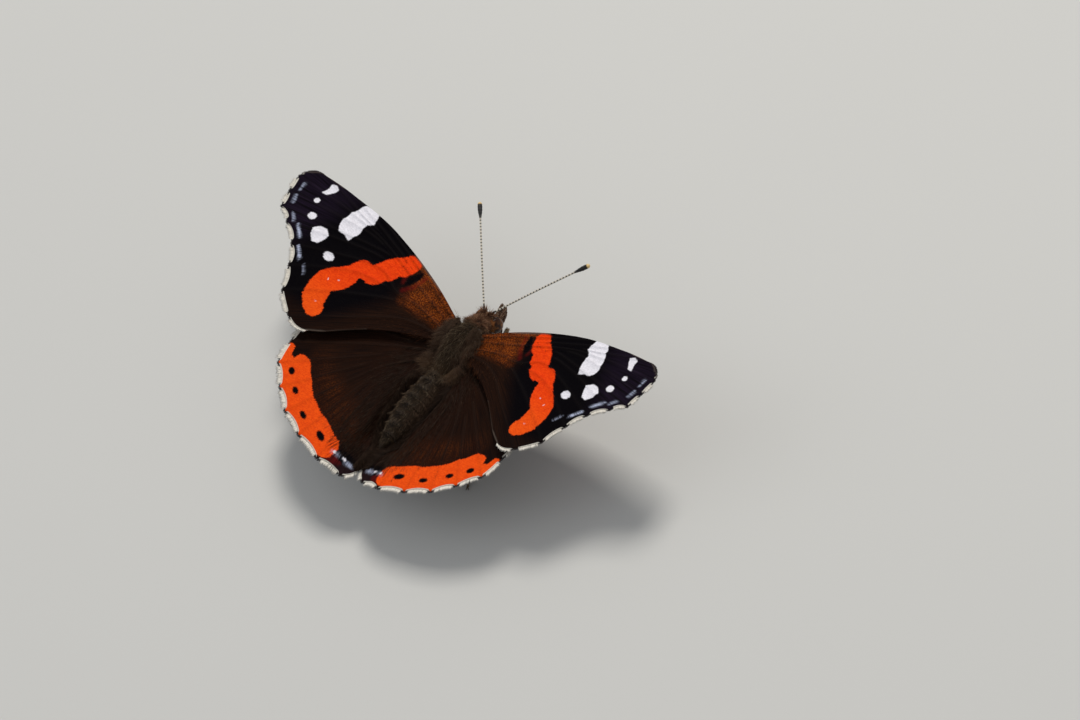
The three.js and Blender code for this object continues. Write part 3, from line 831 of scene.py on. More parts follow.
@dataclass(frozen=True)
class UndersideFinish:
    """Colours of the wings' mottled underside."""

    bark: Colour = srgb(60, 44, 34)
    ash: Colour = srgb(128, 112, 98)
    soot: Colour = srgb(22, 17, 17)
    rose: Colour = srgb(186, 66, 40)
    cream: Colour = srgb(206, 196, 190)
    slate: Colour = srgb(86, 92, 130)
    gloss: Gloss = Gloss(roughness=0.75, specular=0.2, bump=0.03)

    def make(self, effects: SharedEffects) -> Material:
        """The finish as a material.

        Args:
            effects: the shared node groups.

        Returns:
            The material.
        """
        bench = Coating("wing_underside", self.gloss)
        lie, plane = bench.unwrapped("Lie"), bench.unwrapped("Plane")
        rows = bench.placed(effects.scale_rows, {"Plane": plane, "Size": 1.0}).outputs
        wide = bench.noise(plane, 0.32, 5.0)
        fine = bench.noise(bench.stretched(lie, (9.0, 60.0, 1.0)), 1.0, 4.0)
        bark = bench.mix(bench.rise(wide, 0.42, 0.6), self.soot, self.bark)
        bark = bench.mix(bench.times(bench.rise(fine, 0.5, 0.66), 0.7), bark, self.ash)
        fore = bench.carried("fore")
        red = bench.times(effects.mark(bench, "red", 0.9, 0.25), bench.times(fore, 0.85))
        colour = bench.mix(red, bark, self.rose)
        colour = bench.mix(bench.times(bench.carried("blue"), 0.8, clamp=True), colour, self.slate)
        white = bench.times(effects.mark(bench, "white", 0.5, 0.15), 0.85)
        colour = bench.mix(white, colour, self.cream)
        colour = bench.mix(bench.times(bench.carried("vein"), 0.45), colour, self.ash)
        return bench.painted(bench.toned(colour, bench.span(rows["Tone"], 0.65, 1.25)), rows["Height"])


# Tints that skin and coat share; the rings carry a painted highlight and the pits painted shade.
BODY_TINTS = ("flank", "front", "gold", "ring", "pit")


@dataclass(frozen=True)
class HairFinish:
    """Colours of one coat of hair: at the root, at the tip, and of the palest hairs."""

    name: str
    root: Colour
    tip: Colour
    pale: Colour
    pale_share: float
    gloss: Gloss = Gloss(roughness=0.55, specular=0.1)

    def make(self, effects: SharedEffects) -> Material:
        """The finish as a material.

        Args:
            effects: the shared node groups.

        Returns:
            The material.
        """
        bench = Coating(self.name, self.gloss)
        inputs = {"Root": self.root, "Tip": self.tip, "Pale": self.pale, "Pale Share": self.pale_share}
        tone = bench.placed(effects.hair_tone, inputs).outputs["Colour"]
        return bench.painted(self.tinted(bench, tone))

    def tinted(self, bench: NodeBench, colour: Socket) -> Socket:
        """The colour as it is; a coat that carries tints lays them over it."""
        return colour


@dataclass(frozen=True)
class BodyHairFinish(HairFinish):
    """Colours of the body's coat, which carries the skin's tints, painted highlight and shade among them."""

    name: str = "body_hair"
    root: Colour = srgb(26, 19, 13)
    tip: Colour = srgb(98, 78, 58)
    pale: Colour = srgb(172, 154, 128)
    pale_share: float = 0.18
    gloss: Gloss = Gloss(roughness=0.55, specular=0.12)
    flank: Colour = srgb(92, 68, 54)
    front: Colour = srgb(122, 86, 64)
    # Pale rear edge of each abdomen segment, lightened along the top middle as a painted highlight.
    ring: Colour = srgb(112, 102, 94)
    # Painted shade where the hair parts just behind each joint of the abdomen, on top.
    pit: Colour = srgb(14, 9, 8)
    gold: Colour = srgb(138, 104, 62)

    def tinted(self, bench: NodeBench, colour: Socket) -> Socket:
        """The colour with the skin's tints over it, strongest at the tips.

        Args:
            bench: the bench of the coat's finish.
            colour: the coat's own colour.

        Returns:
            The tinted colour.
        """
        along = bench.span(bench.carried("along"), 0.25, 1.0)
        for key in BODY_TINTS:
            colour = bench.mix(bench.times(bench.carried(key), along), colour, getattr(self, key))
        return colour


@dataclass(frozen=True)
class FringeFinish:
    """Colours of the scales that fringe the wings: pale between the veins and dark at their ends."""

    dark: Colour = srgb(30, 23, 22)
    pale: Colour = srgb(238, 232, 220)
    gloss: Gloss = Gloss(roughness=0.6, specular=0.25, sheen=0.2)

    def make(self) -> Material:
        """The finish as a material."""
        bench = Coating("fringe", self.gloss)
        worn = bench.times(bench.carried("pale"), bench.span(bench.carried("shade"), 0.72, 1.0))
        return bench.painted(bench.mix(worn, self.dark, self.pale))


@dataclass(frozen=True)
class SkinFinish:
    """Colours of hard skin under the hair, mottled, with paler joints between its rings."""

    name: str
    dark: Colour
    light: Colour
    size: float = 1.5
    gloss: Gloss = Gloss(roughness=0.5, specular=0.4, bump=0.05)

    def make(self, effects: SharedEffects) -> Material:
        """The finish as a material.

        Args:
            effects: the shared node groups.

        Returns:
            The material.
        """
        bench = Coating(self.name, self.gloss)
        mottle = bench.placed(effects.mottle, {"Place": bench.in_millimetres(), "Size": self.size}).outputs
        colour = bench.mix(mottle["Tone"], self.dark, self.light)
        rough = bench.span(mottle["Tone"], self.gloss.roughness, self.gloss.roughness + 0.2)
        return bench.painted(colour, mottle["Height"], rough)


@dataclass(frozen=True)
class BodyFinish:
    """Colours of the body's skin: olive black thorax, brown head, and an abdomen with pale rings."""

    thorax: Colour = srgb(30, 24, 17)
    abdomen: Colour = srgb(36, 27, 20)
    # Pale rear edge of each abdomen segment, lightened along the top middle as a painted highlight.
    ring: Colour = srgb(96, 86, 76)
    # Painted shade where the hair parts just behind each joint of the abdomen, on top.
    pit: Colour = srgb(12, 8, 7)
    flank: Colour = srgb(50, 36, 28)
    gold: Colour = srgb(96, 72, 44)
    front: Colour = srgb(60, 38, 29)
    gloss: Gloss = Gloss(roughness=0.6, specular=0.12, bump=0.06)

    def make(self, effects: SharedEffects) -> Material:
        """The finish as a material.

        Args:
            effects: the shared node groups.

        Returns:
            The material.
        """
        bench = Coating("body_skin", self.gloss)
        mottle = bench.placed(effects.mottle, {"Place": bench.in_millimetres(), "Size": 1.8}).outputs
        colour = bench.mix(bench.carried("rear"), self.thorax, self.abdomen)
        for key in BODY_TINTS:
            colour = bench.mix(bench.carried(key), colour, getattr(self, key))
        return bench.painted(bench.toned(colour, bench.span(mottle["Tone"], 0.65, 1.25)), mottle["Height"])


@dataclass(frozen=True)
class EyeFinish:
    """Compound eye: brown facets in dark and lighter patches, with darker seams, under a clear gloss."""

    dark: Colour = srgb(40, 21, 12)
    brown: Colour = srgb(158, 98, 48)
    facet: float = 9.0
    gloss: Gloss = Gloss(roughness=0.2, specular=0.16, coat=0.04, bump=0.012)

    def make(self) -> Material:
        """The finish as a material."""
        bench = Coating("eye_facets", self.gloss)
        place = bench.in_millimetres()
        cells = bench.cells(place, self.facet)
        patches = bench.noise(place, 1.1)
        colour = bench.mix(bench.rise(patches, 0.38, 0.66), self.dark, self.brown)
        seams = bench.rise(cells.outputs["Distance"], 0.25, 0.7)
        colour = bench.mix(bench.times(seams, 0.5), colour, self.dark)
        return bench.painted(colour, bench.sum("SUBTRACT", 1.0, cells.outputs["Distance"]))


@dataclass(frozen=True)
class AntennaFinish:
    """Feeler: black with a pale ring at each joint, and a black club with a cream tip."""

    black: Colour = srgb(15, 12, 12)
    ring: Colour = srgb(208, 200, 184)
    tip: Colour = srgb(216, 186, 128)
    gloss: Gloss = Gloss(roughness=0.45, specular=0.4, bump=0.01)

    def make(self) -> Material:
        """The finish as a material."""
        bench = Coating("antenna_rings", self.gloss)
        colour = bench.mix(bench.carried("ring"), self.black, self.ring)
        colour = bench.mix(bench.carried("cream"), colour, self.tip)
        return bench.painted(colour, bench.noise(bench.in_millimetres(), 14.0))


@dataclass(frozen=True)
class FloorFinish:
    """Plain pale floor with a faint unevenness."""

    light: Colour = (0.62, 0.62, 0.6, 1.0)
    dark: Colour = (0.58, 0.58, 0.565, 1.0)

    def make(self) -> Material:
        """The finish as a material."""
        bench = Coating("floor", Gloss(roughness=0.85, specular=0.15))
        clouds = bench.noise(bench.node("ShaderNodeTexCoord").outputs["Object"], 6.0, 3.0)
        return bench.painted(bench.mix(clouds, self.dark, self.light))


# Wings


@dataclass(frozen=True)
class Vein:
    """A line of the wing from its root to the margin.

    Attributes: name, the places it goes through, its end on the margin, the share of its line where it
    leaves its stem (above 1 for a line with no vein), the bulge of the margin behind its end, and the
    length of the fringe there.
    """

    name: str
    through: tuple[Pair, ...]
    end: Pair
    leaves: float = 0.0
    bow: float = 0.0
    fringe: float = 0.45


@dataclass(frozen=True)
class WingMarks:
    """Places of the marks on a wing's upper side, in the wing's own plane."""

    red: tuple[tuple[Pair, ...], ...]
    white: tuple[tuple[Pair, ...], ...] = ()
    white_spots: tuple[Spot, ...] = ()
    black_spots: tuple[Spot, ...] = ()
    blue: tuple[Streak, ...] = ()
    crimson: tuple[Streak, ...] = ()
    warm: tuple[Streak, ...] = ()
    pale_edge: tuple[Streak, ...] = ()


@dataclass(frozen=True)
class WingPlan:
    """A wing's lines, its place on the body, its slopes in degrees and the hairs tried over it."""

    name: str
    hinge: Triple
    dihedral: float
    chord_tilt: float
    root_front: Pair
    root_rear: Pair
    fringe_from: float
    hairs: int
    veins: tuple[Vein, ...]
    marks: WingMarks
    arch: float = 0.0
    trough: float = 0.0
    fold: float = 0.0
    rear_shift: float = 0.0


FOREWING_MARKS = WingMarks(
    red=(
        (
            (9.9, -4.75), (10.5, -4.6), (11.1, -3.9), (12.1, -3.2), (12.9, -2.4), (13.6, -1.3),
            (13.9, -0.9), (15.0, -1.0), (15.7, -0.6), (16.2, 0.1), (16.5, 0.7), (17.0, 1.2), (18.3, 2.2),
            (19.2, 3.0), (19.5, 4.0), (19.6, 5.0), (19.4, 5.9), (19.3, 6.9), (18.7, 7.5), (17.9, 8.3),
            (16.8, 8.8), (15.9, 8.7), (15.3, 8.0), (15.4, 7.2), (15.9, 6.6), (16.1, 5.3), (16.2, 4.8),
            (15.4, 4.1), (14.7, 3.2), (14.3, 2.2), (14.2, 1.2), (13.1, 1.4), (12.1, 1.1), (11.3, 0.5),
            (11.2, -0.1), (10.5, -0.4), (10.2, -1.0), (10.0, -1.5), (9.2, -1.9), (8.7, -2.7), (8.3, -3.8),
            (8.6, -4.4),
        ),
    ),
    white=(
        (
            (17.8, -6.75), (18.6, -6.85), (20.1, -6.85), (20.5, -6.3), (20.6, -5.8), (21.2, -5.0),
            (21.3, -4.3), (21.6, -3.6), (21.4, -2.8), (20.9, -2.2), (19.9, -2.2), (19.0, -1.8),
            (18.7, -2.5), (18.3, -3.3), (18.4, -4.3), (18.2, -4.8), (17.5, -5.2), (17.6, -5.8),
        ),
        ((24.7, -6.6), (24.9, -6.1), (25.7, -5.2), (26.5, -5.1), (26.0, -6.1), (26.1, -6.7), (25.4, -6.95)),
        (
            (22.4, -1.6), (23.5, -1.5), (24.2, -0.9), (23.9, 0.0), (23.1, 0.7), (22.2, 0.5), (21.8, -0.2),
            (21.6, -1.0),
        ),
    ),
    white_spots=(
        Spot((26.3, -4.0), (0.42, 0.38)), Spot((25.4, -2.0), (0.62, 0.5)),
        Spot((19.7, 1.2), (0.8, 0.55)), Spot((16.4, 3.0), (0.15, 0.13)),
        Spot((17.7, 3.6), (0.13, 0.13)), Spot((17.1, 6.8), (0.16, 0.1)),
    ),
    black_spots=(Spot((8.05, -2.3), (1.35, 0.52), 66.0),),
    blue=(
        Streak((26.2, -0.1), (24.8, 1.1), 0.28, 1.0), Streak((24.1, 2.2), (22.8, 3.4), 0.28, 1.0),
        Streak((21.7, 3.9), (21.0, 4.7), 0.24, 0.5), Streak((29.3, -5.0), (29.25, -4.1), 0.26, 0.75),
        Streak((29.2, -3.1), (28.9, -2.2), 0.26, 0.75), Streak((27.8, -1.0), (27.1, -0.3), 0.26, 0.6),
    ),
    crimson=(
        Streak((6.8, -3.1), (7.4, -1.4), 0.4, 0.6), Streak((7.4, -1.4), (8.4, -0.3), 0.45, 0.5),
        Streak((9.2, -1.9), (9.0, -1.2), 0.4, 0.4),
    ),
    warm=(
        Streak((0.5, -0.8), (6.2, -2.4), 2.6, 0.85), Streak((0.5, 0.0), (6.2, -0.2), 2.0, 0.7),
        Streak((0.5, 0.3), (7.4, 0.5), 1.3, 0.3), Streak((3.0, -2.2), (9.5, -4.7), 0.7, 0.75),
    ),
    pale_edge=(
        Streak((24.5, -7.25), (28.2, -7.4), 0.2, 0.6), Streak((28.2, -7.4), (30.9, -6.0), 0.16, 0.3),
        Streak((4.0, -2.9), (10.0, -4.95), 0.22, 0.45), Streak((8.8, 6.3), (13.2, 9.4), 0.16, 0.12),
        Streak((13.2, 9.4), (15.4, 10.5), 0.18, 0.3),
    ),
)

FOREWING = WingPlan(
    name="forewing",
    hinge=(2.7, -0.3, 0.92),
    dihedral=10.05,
    chord_tilt=-5.26,
    arch=0.3,
    root_front=(-0.5, -0.9),
    root_rear=(-0.6, 2.3),
    fringe_from=-5.9,
    hairs=9000,
    veins=(
        Vein("costa", ((4.5, -3.1), (9.5, -4.8)), (14.2, -6.05), bow=0.05, fringe=0.03),
        Vein("subcosta", ((5.0, -2.6), (11.0, -4.6)), (17.4, -6.6), bow=0.04, fringe=0.03),
        Vein("radius_1", ((5.3, -2.1), (11.5, -4.0)), (21.8, -7.0), leaves=0.5, bow=0.1, fringe=0.03),
        Vein(
            "radius_3", ((5.6, -1.8), (13.5, -4.25), (20.0, -5.6)), (27.6, -7.25),
            leaves=0.62, bow=0.75, fringe=0.08,
        ),
        Vein("radius_4", ((5.8, -1.55), (13.8, -3.95), (20.5, -5.0)), (31.1, -5.4), bow=-0.05, fringe=0.4),
        Vein("radius_5", ((6.0, -1.25), (12.0, -2.95), (17.5, -4.1)), (30.8, -3.1), leaves=0.5, bow=-0.15),
        Vein("media_1", ((6.1, -0.9), (11.0, -2.35), (14.0, -3.1)), (30.3, -0.9), leaves=0.45, bow=-0.4),
        Vein("media_2", ((5.9, -0.5), (14.2, -2.3)), (28.1, 0.5), leaves=0.5, bow=-0.4),
        Vein("media_3", ((4.8, 0.3), (9.0, 0.25), (13.7, -1.1)), (25.5, 2.5), bow=-0.4),
        Vein("cubitus_1", ((4.8, 0.75), (10.8, 0.45), (15.9, 1.15)), (23.8, 5.0), leaves=0.46, bow=-0.35),
        Vein("cubitus_2", ((4.4, 1.2), (8.3, 1.25), (16.4, 4.8)), (22.2, 8.1), leaves=0.38, bow=0.05),
        Vein("anal", ((5.5, 2.6), (12.0, 6.3)), (19.0, 10.4), bow=0.42),
        Vein("inner_margin", ((4.4, 4.1), (8.8, 6.3), (13.2, 9.4)), (15.4, 10.55), leaves=2.0, fringe=0.25),
    ),
    marks=FOREWING_MARKS,
)

HINDWING_MARKS = WingMarks(
    red=(
        (
            (15.9, 8.5), (15.6, 9.6), (14.9, 9.9), (14.6, 9.0), (14.0, 8.8), (12.7, 9.1), (11.8, 10.1),
            (10.9, 10.9), (10.0, 11.8), (9.0, 12.6), (7.8, 13.2), (6.5, 13.8), (5.0, 14.2), (4.0, 14.7),
            (3.0, 15.2), (1.9, 15.5), (1.2, 16.4), (1.5, 17.9), (2.3, 18.4), (3.3, 18.5), (5.0, 18.1),
            (6.7, 18.0), (8.0, 17.5), (9.5, 16.8), (11.0, 16.2), (12.3, 14.8), (14.0, 14.0), (15.5, 12.9),
            (16.3, 12.0), (16.7, 10.5), (17.0, 9.2), (16.8, 8.4),
        ),
    ),
    white_spots=(Spot((-0.1, 16.9), (0.34, 0.22)), Spot((1.4, 16.9), (0.26, 0.2))),
    black_spots=(
        Spot((13.9, 11.4), (0.62, 0.4), -30.0), Spot((11.6, 13.2), (0.58, 0.38), -26.0),
        Spot((8.4, 15.25), (0.68, 0.36), -20.0), Spot((4.45, 16.25), (0.88, 0.42), -22.0),
        Spot((-0.3, 16.75), (1.5, 0.75), -4.0),
    ),
    blue=(
        Streak((-1.7, 17.15), (-0.5, 17.15), 0.4, 0.75), Streak((0.6, 16.95), (1.7, 17.0), 0.35, 0.5),
    ),
    crimson=(Streak((0.4, 17.6), (2.2, 17.3), 0.7, 0.55), Streak((0.8, 18.1), (2.2, 18.0), 0.5, 0.5)),
    warm=(
        Streak((2.5, 13.6), (8.5, 10.8), 3.4, 0.09), Streak((8.5, 10.8), (11.6, 8.4), 2.8, 0.05),
    ),
    pale_edge=(Streak((13.4, 1.0), (15.4, 3.0), 0.45, 0.7),),
)

HINDWING = WingPlan(
    name="hindwing",
    hinge=(2.6, 3.6, -0.34),
    dihedral=9.08,
    chord_tilt=-2.69,
    trough=0.6,
    fold=0.8,
    rear_shift=0.35,
    root_front=(-0.6, -1.85),
    root_rear=(-1.1, 1.65),
    fringe_from=6.2,
    hairs=12000,
    veins=(
        Vein("costa", ((5.5, -2.1), (11.0, -0.3)), (15.2, 2.4), bow=0.25, fringe=0.1),
        Vein("subcosta", ((3.8, -0.2), (9.5, 1.5)), (16.9, 5.2), bow=0.2, fringe=0.35),
        Vein("radius", ((3.6, 0.8), (8.5, 3.4)), (17.25, 8.4), bow=0.12, fringe=0.5),
        Vein("media_1", ((3.3, 1.5), (7.6, 4.9)), (16.6, 11.7), leaves=0.36, bow=-0.3, fringe=0.5),
        Vein("media_2", ((3.0, 2.1), (6.9, 6.0)), (14.0, 14.3), leaves=0.45, bow=-0.35, fringe=0.5),
        Vein("media_3", ((2.6, 2.7), (5.9, 7.0)), (11.0, 16.5), bow=-0.35, fringe=0.5),
        Vein("cubitus_1", ((2.1, 3.1), (4.7, 7.5)), (7.1, 18.1), leaves=0.38, bow=-0.35, fringe=0.5),
        Vein("cubitus_2", ((1.6, 3.4), (2.9, 7.6)), (2.7, 19.3), leaves=0.24, bow=-0.3, fringe=0.5),
        Vein("anal", ((0.95, 4.2), (0.8, 10.0)), (-1.1, 19.25), bow=0.3, fringe=0.5),
        Vein(
            "inner_margin",
            ((-0.1, 3.4), (-0.45, 6.2), (-0.65, 9.0), (-1.4, 11.6), (-2.3, 13.4), (-2.5, 15.4)),
            (-2.52, 17.4),
            leaves=2.0,
            fringe=0.4,
        ),
    ),
    marks=HINDWING_MARKS,
)


@dataclass
class WingGrid:
    """Places of one wing's surface in rows outward and columns rearward."""

    places: Array
    outline: Array
    column: Array
    veins_end: Array


@dataclass
class Wing:
    """One wing on one side: its surface, its fringe and the hair on its base."""

    plan: WingPlan
    side: Side
    spacing: float = 0.3
    half_thickness: float = 0.08
    ridge: float = 0.1
    ridge_foot: float = 0.34
    fringe_step: float = 0.03
    pleat: float = 0.05
    inner_hairs: int = 6500

    @property
    def label(self) -> str:
        """The node that this wing stands for."""
        return f"{self.plan.name}_{self.side.label}"

    @cached_property
    def lines(self) -> list[Array]:
        """A finely stepped line for each vein, from the root to the margin."""
        last = len(self.plan.veins) - 1
        made = []
        for k, vein in enumerate(self.plan.veins):
            front, rear = np.array(self.plan.root_front), np.array(self.plan.root_rear)
            root = front * (1 - k / last) + rear * (k / last)
            made.append(catmull(np.array([root, *vein.through, vein.end], float), 80))
        return made

    @cached_property
    def grid(self) -> WingGrid:
        """The wing's plane as rows and columns of places.

        Returns:
            The places, the outline that the fringe reaches, and where each column lies between veins.
        """
        lines, veins = self.lines, self.plan.veins
        length = max(norm(np.diff(line, axis=0), axis=1).sum() for line in lines)
        fractions = np.linspace(0.0, 1.0, int(length / self.spacing) + 1)
        ends = np.array([vein.end for vein in veins])
        made, outline, numbers = [], [], []
        for k in range(len(veins) - 1):
            chord = ends[k + 1] - ends[k]
            gap = float(norm(chord))
            outward = np.array([chord[1], -chord[0]]) / gap
            foot = min(0.3, 0.5 * self.ridge_foot / gap)
            middle = np.linspace(foot, 1.0 - foot, max(2, int(gap / self.spacing)))
            shares = [0.0, *middle] if k < len(veins) - 2 else [0.0, *middle, 1.0]
            for share in shares:
                bulge = veins[k].bow * 4.0 * share * (1.0 - share)
                row = []
                for reach in (self.reaches(k, share, fractions), fractions):
                    a, b = spread_evenly(lines[k], reach), spread_evenly(lines[k + 1], reach)
                    near = eased(fractions, 0.6, 1.0)[:, None]
                    row.append(a * (1.0 - share) + b * share + outward * bulge * near)
                made.append(row[0])
                outline.append(row[1][-1])
                numbers.append(k + share)
        return WingGrid(np.stack(made, axis=1), np.array(outline), np.array(numbers), ends)

    def reaches(self, k: int, share: float, fractions: Array) -> Array:
        """Fractions of the lines that the skin itself reaches, short of the margin by the fringe."""
        length = norm(np.diff(self.lines[k], axis=0), axis=1).sum()
        fringe = self.plan.veins[k].fringe * (1.0 - share) + self.plan.veins[k + 1].fringe * share
        return fractions * (1.0 - fringe / length)

    def vein_rise(self, places: Array) -> Array:
        """How much a vein shows at each place, from 0 on bare skin to 1 on a thick vein."""
        rise = np.zeros(len(places))
        for vein, line in zip(self.plan.veins, self.lines):
            if vein.leaves > 1.0:
                continue
            t = np.linspace(vein.leaves, 1.0, 40)
            chain = spread_evenly(line, t)
            away = norm(places[:, None] - chain[None], axis=2)
            near = away.argmin(1)
            close = distance_to_line(places, chain)
            rise = np.maximum(rise, (1.0 - 0.55 * t[near]) * (1.0 - eased(close, 0.0, self.ridge_foot)))
        return rise

    def height(self, places: Array) -> Array:
        """Height of the middle of the wing over its plane."""
        span = 32.0
        arch = self.plan.arch * np.sin(math.pi * np.clip(places[:, 0], 0.0, span) / span)
        dip = self.plan.trough * eased(1.6 - places[:, 0], 0.0, 2.2) * eased(places[:, 1], 1.5, 6.0)
        beside = eased(places[:, 1], 1.5, 4.5) * (1.0 - eased(places[:, 1], 12.0, 15.5))
        return arch - dip - self.plan.fold * eased(0.9 - places[:, 0], 0.0, 1.2) * beside

    def seat(self) -> tuple[Array, Array]:
        """The wing's turn and the place of its hinge, on the left side of the body."""
        tilt, lift = math.radians(self.plan.chord_tilt), math.radians(self.plan.dihedral)
        turn = np.array(Matrix.Rotation(tilt, 3, "X") @ Matrix.Rotation(-lift, 3, "Y"))
        return turn, np.array(self.plan.hinge) + np.array([0.0, self.side.value * self.plan.rear_shift, 0.0])

    def set_on_body(self, points: Array) -> Array:
        """Places in the wing's plane moved to the left side of the body."""
        turn, hinge = self.seat()
        return points @ turn.T + hinge

    def mark_values(self, places: Array) -> dict[str, Array]:
        """What the finish needs to know at each place: depths in the marks and strengths of the tints.

        Args:
            places: places in the wing's plane.

        Returns:
            One array a value, by name.
        """
        marks = self.plan.marks
        x, y = places[:, 0], places[:, 1]
        none = np.full(len(places), -9.0)
        red = np.max([depth_in_outline(places, outline) for outline in marks.red], axis=0)
        whites = [depth_in_outline(places, outline) for outline in marks.white]
        whites += [spot.depth(places) for spot in marks.white_spots]
        blacks = [spot.depth(places) for spot in marks.black_spots]
        fore = self.plan is FOREWING
        if fore:
            brown = 1.0 - eased(x - 0.9 * np.clip(y - 1.5, 0.0, 9.0), 6.5, 10.5)
            brown = np.maximum(brown, 0.7 * eased(y, 7.0, 9.5))
            # Painted sheen: violet over the forewing's dark outer part.
            violet = 0.85 * eased(x - 0.5 * y, 22.0, 27.0)
        else:
            brown = 1.0 - 0.35 * eased(red, -2.4, -0.4)
            # Purplish scales at the hindwing's inner corner.
            violet = 0.5 * eased(y - 0.2 * x, 15.5, 17.0) * (1.0 - eased(x, 0.0, 2.5))
        strokes = {"blue": marks.blue, "crimson": marks.crimson, "warm": marks.warm, "rim": marks.pale_edge}
        values = {
            key: np.max([s.shade(places) for s in some], axis=0) if some else np.zeros(len(places))
            for key, some in strokes.items()
        }
        values["red"] = red
        values["white"] = np.max([none, *whites], axis=0)
        values["black"] = np.max([none, *blacks], axis=0)
        values["brown"] = brown
        values["violet"] = violet
        values["orange"] = 0.25 + 0.5 * eased(y, 1.0, 8.0) if fore else np.full(len(places), 0.62)
        values["fore"] = np.full(len(places), 1.0 if fore else 0.0)
        return values

    def make_surface(self) -> Shell:
        """The wing as a thin closed sheet with its veins raised in it.

        Returns:
            The sheet on the wing's own side, upper faces first, then the underside and the rim.
        """
        grid = self.grid
        rows, across = grid.places.shape[:2]
        places = grid.places.reshape(-1, 2)
        rise = self.vein_rise(places)
        share = np.tile(grid.column % 1.0, rows)
        outward = np.repeat(np.linspace(0.0, 1.0, rows), across)
        open_skin = eased(outward, 0.15, 0.5) * (1.0 - eased(outward, 0.8, 1.0))
        middle = self.height(places) - self.pleat * 4.0 * share * (1.0 - share) * open_skin
        half = self.half_thickness * (1.0 - 0.4 * eased(outward, 0.9, 1.0))
        upper = columns([places, middle + half + self.ridge * rise])
        lower = columns([places, middle - half - 0.5 * self.ridge * rise])
        count = rows * across
        at = np.arange(count).reshape(rows, across)
        p, q, s, t = (part.ravel() for part in (at[:-1, :-1], at[1:, :-1], at[1:, 1:], at[:-1, 1:]))
        over = np.stack([p, q, s, t], axis=1)
        under = np.stack([p, t, s, q], axis=1) + count
        loop = np.concatenate([at[0, :-1], at[:-1, -1], at[-1, :0:-1], at[:0:-1, 0]])
        after = np.roll(loop, -1)
        rim = np.stack([loop, after, after + count, loop + count], axis=1)
        edge = np.zeros((rows, across))
        edge[-1] = self.paleness(grid.places[-1])
        values = {"vein": rise, "edge": edge.ravel(), **self.mark_values(places)}
        lie = columns([outward, np.tile(grid.column / len(self.plan.veins), rows)])
        shell = Shell(
            self.set_on_body(np.concatenate([upper, lower])),
            [over, under, rim],
            {key: np.tile(value, 2) for key, value in values.items()},
            {"Lie": np.tile(lie, (2, 1)), "Plane": np.tile(places, (2, 1))},
            [0, 1, 0],
        )
        return shell.on(self.side)

    def paleness(self, margin: Array) -> Array:
        """How pale the margin is: pale between the veins, dark at their ends and along the costa.

        Args:
            margin: places on the margin.

        Returns:
            One share a place.
        """
        close = norm(margin[:, None] - self.grid.veins_end[None, :-1], axis=2).min(1)
        start = self.plan.fringe_from
        return eased(close, 0.5, 0.74) * eased(margin[:, 1], start - 0.4, start + 0.4)

    def make_fringe(self) -> Shell:
        """Flat scales along the margin, reaching to the wing's outline and a little past it.

        Returns:
            The fringe on the wing's own side, carrying how pale each scale is.
        """
        draw = np.random.default_rng(SEED + 5)
        inner, outer = self.grid.places[-1], self.grid.outline
        reach = np.concatenate([[0.0], np.cumsum(norm(np.diff(outer, axis=0), axis=1))])
        count = int(reach[-1] / self.fringe_step)
        at = np.sort(draw.uniform(0.0, reach[-1], count))
        root = np.stack([np.interp(at, reach, inner[:, k]) for k in range(2)], axis=1)
        tip = np.stack([np.interp(at, reach, outer[:, k]) for k in range(2)], axis=1)
        along = unit(np.stack([np.gradient(tip[:, 0]), np.gradient(tip[:, 1])], axis=1))
        outward = np.stack([along[:, 1], -along[:, 0]], axis=1)
        way = tip - root
        length = norm(way, axis=1)
        keep = length > 0.12
        root, length, outward, tip = root[keep], length[keep], outward[keep], tip[keep]
        direction = unit(0.6 * way[keep] / np.maximum(length, 1e-6)[:, None] + 0.4 * outward)
        root = root - direction * 0.12
        pale = self.paleness(tip + draw.normal(0.0, 0.05, tip.shape))
        normal = np.tile([0.0, 0.0, 1.0], (len(root), 1))
        roots = Roots(columns([root, self.height(root)]), normal, 0.5 + root / 80.0)
        lie = columns([direction, np.zeros(len(root))])
        cut = TuftCut(length=1.0, lift=3.0, tangle=9.0, differ=0.28, width=0.18, thickness=0.05, droop=0.02)
        reach_out = (length + 0.16) * (0.74 + 0.26 * pale) + 0.3 * pale
        shell = grown(roots, lie, cut, reach_out, SEED + 6)
        shell.values["pale"] = np.repeat(pale, 7)
        shell.points = self.set_on_body(shell.points)
        return shell.on(self.side)

    def make_hair(self, sheet: Shell) -> Shell:
        """Fine hairs on the base of the upper side, longest near the body.

        Args:
            sheet: the wing's own surface.

        Returns:
            The hairs.
        """
        places, normals = scattered(Shell(sheet.points, sheet.faces[:1]), self.plan.hairs, SEED + 11)
        plane = self.back_to_plane(places)
        x, y = plane[:, 0], plane[:, 1]
        if self.plan is FOREWING:
            thick = (1.0 - eased(x, 2.0, 12.0)) * 0.85
        else:
            thick = 1.0 - eased(x, 1.0, 6.5) + 0.2 * (1.0 - eased(x, 3.0, 12.0))
            thick = thick * (1.0 - eased(y, 13.5, 17.0))
        draw = np.random.default_rng(SEED + 12)
        keep = draw.random(len(x)) < thick
        roots = Roots(places[keep], normals[keep], 0.5 + plane[keep] / 80.0)
        outward = self.side.value * np.clip(x[keep], 0.6, 30.0)
        lie = columns([outward, 0.35 * x[keep] + 2.2 + 0.3 * y[keep], 0.12 * np.abs(outward)])
        cut = TuftCut(length=1.9, lift=3.5, tangle=7.0, differ=0.6, width=0.04, thickness=0.03, droop=0.03)
        scale = 0.35 + 0.65 * (1.0 - eased(x[keep], 0.5, 6.0))
        return grown(roots, lie, cut, scale, SEED + 13)

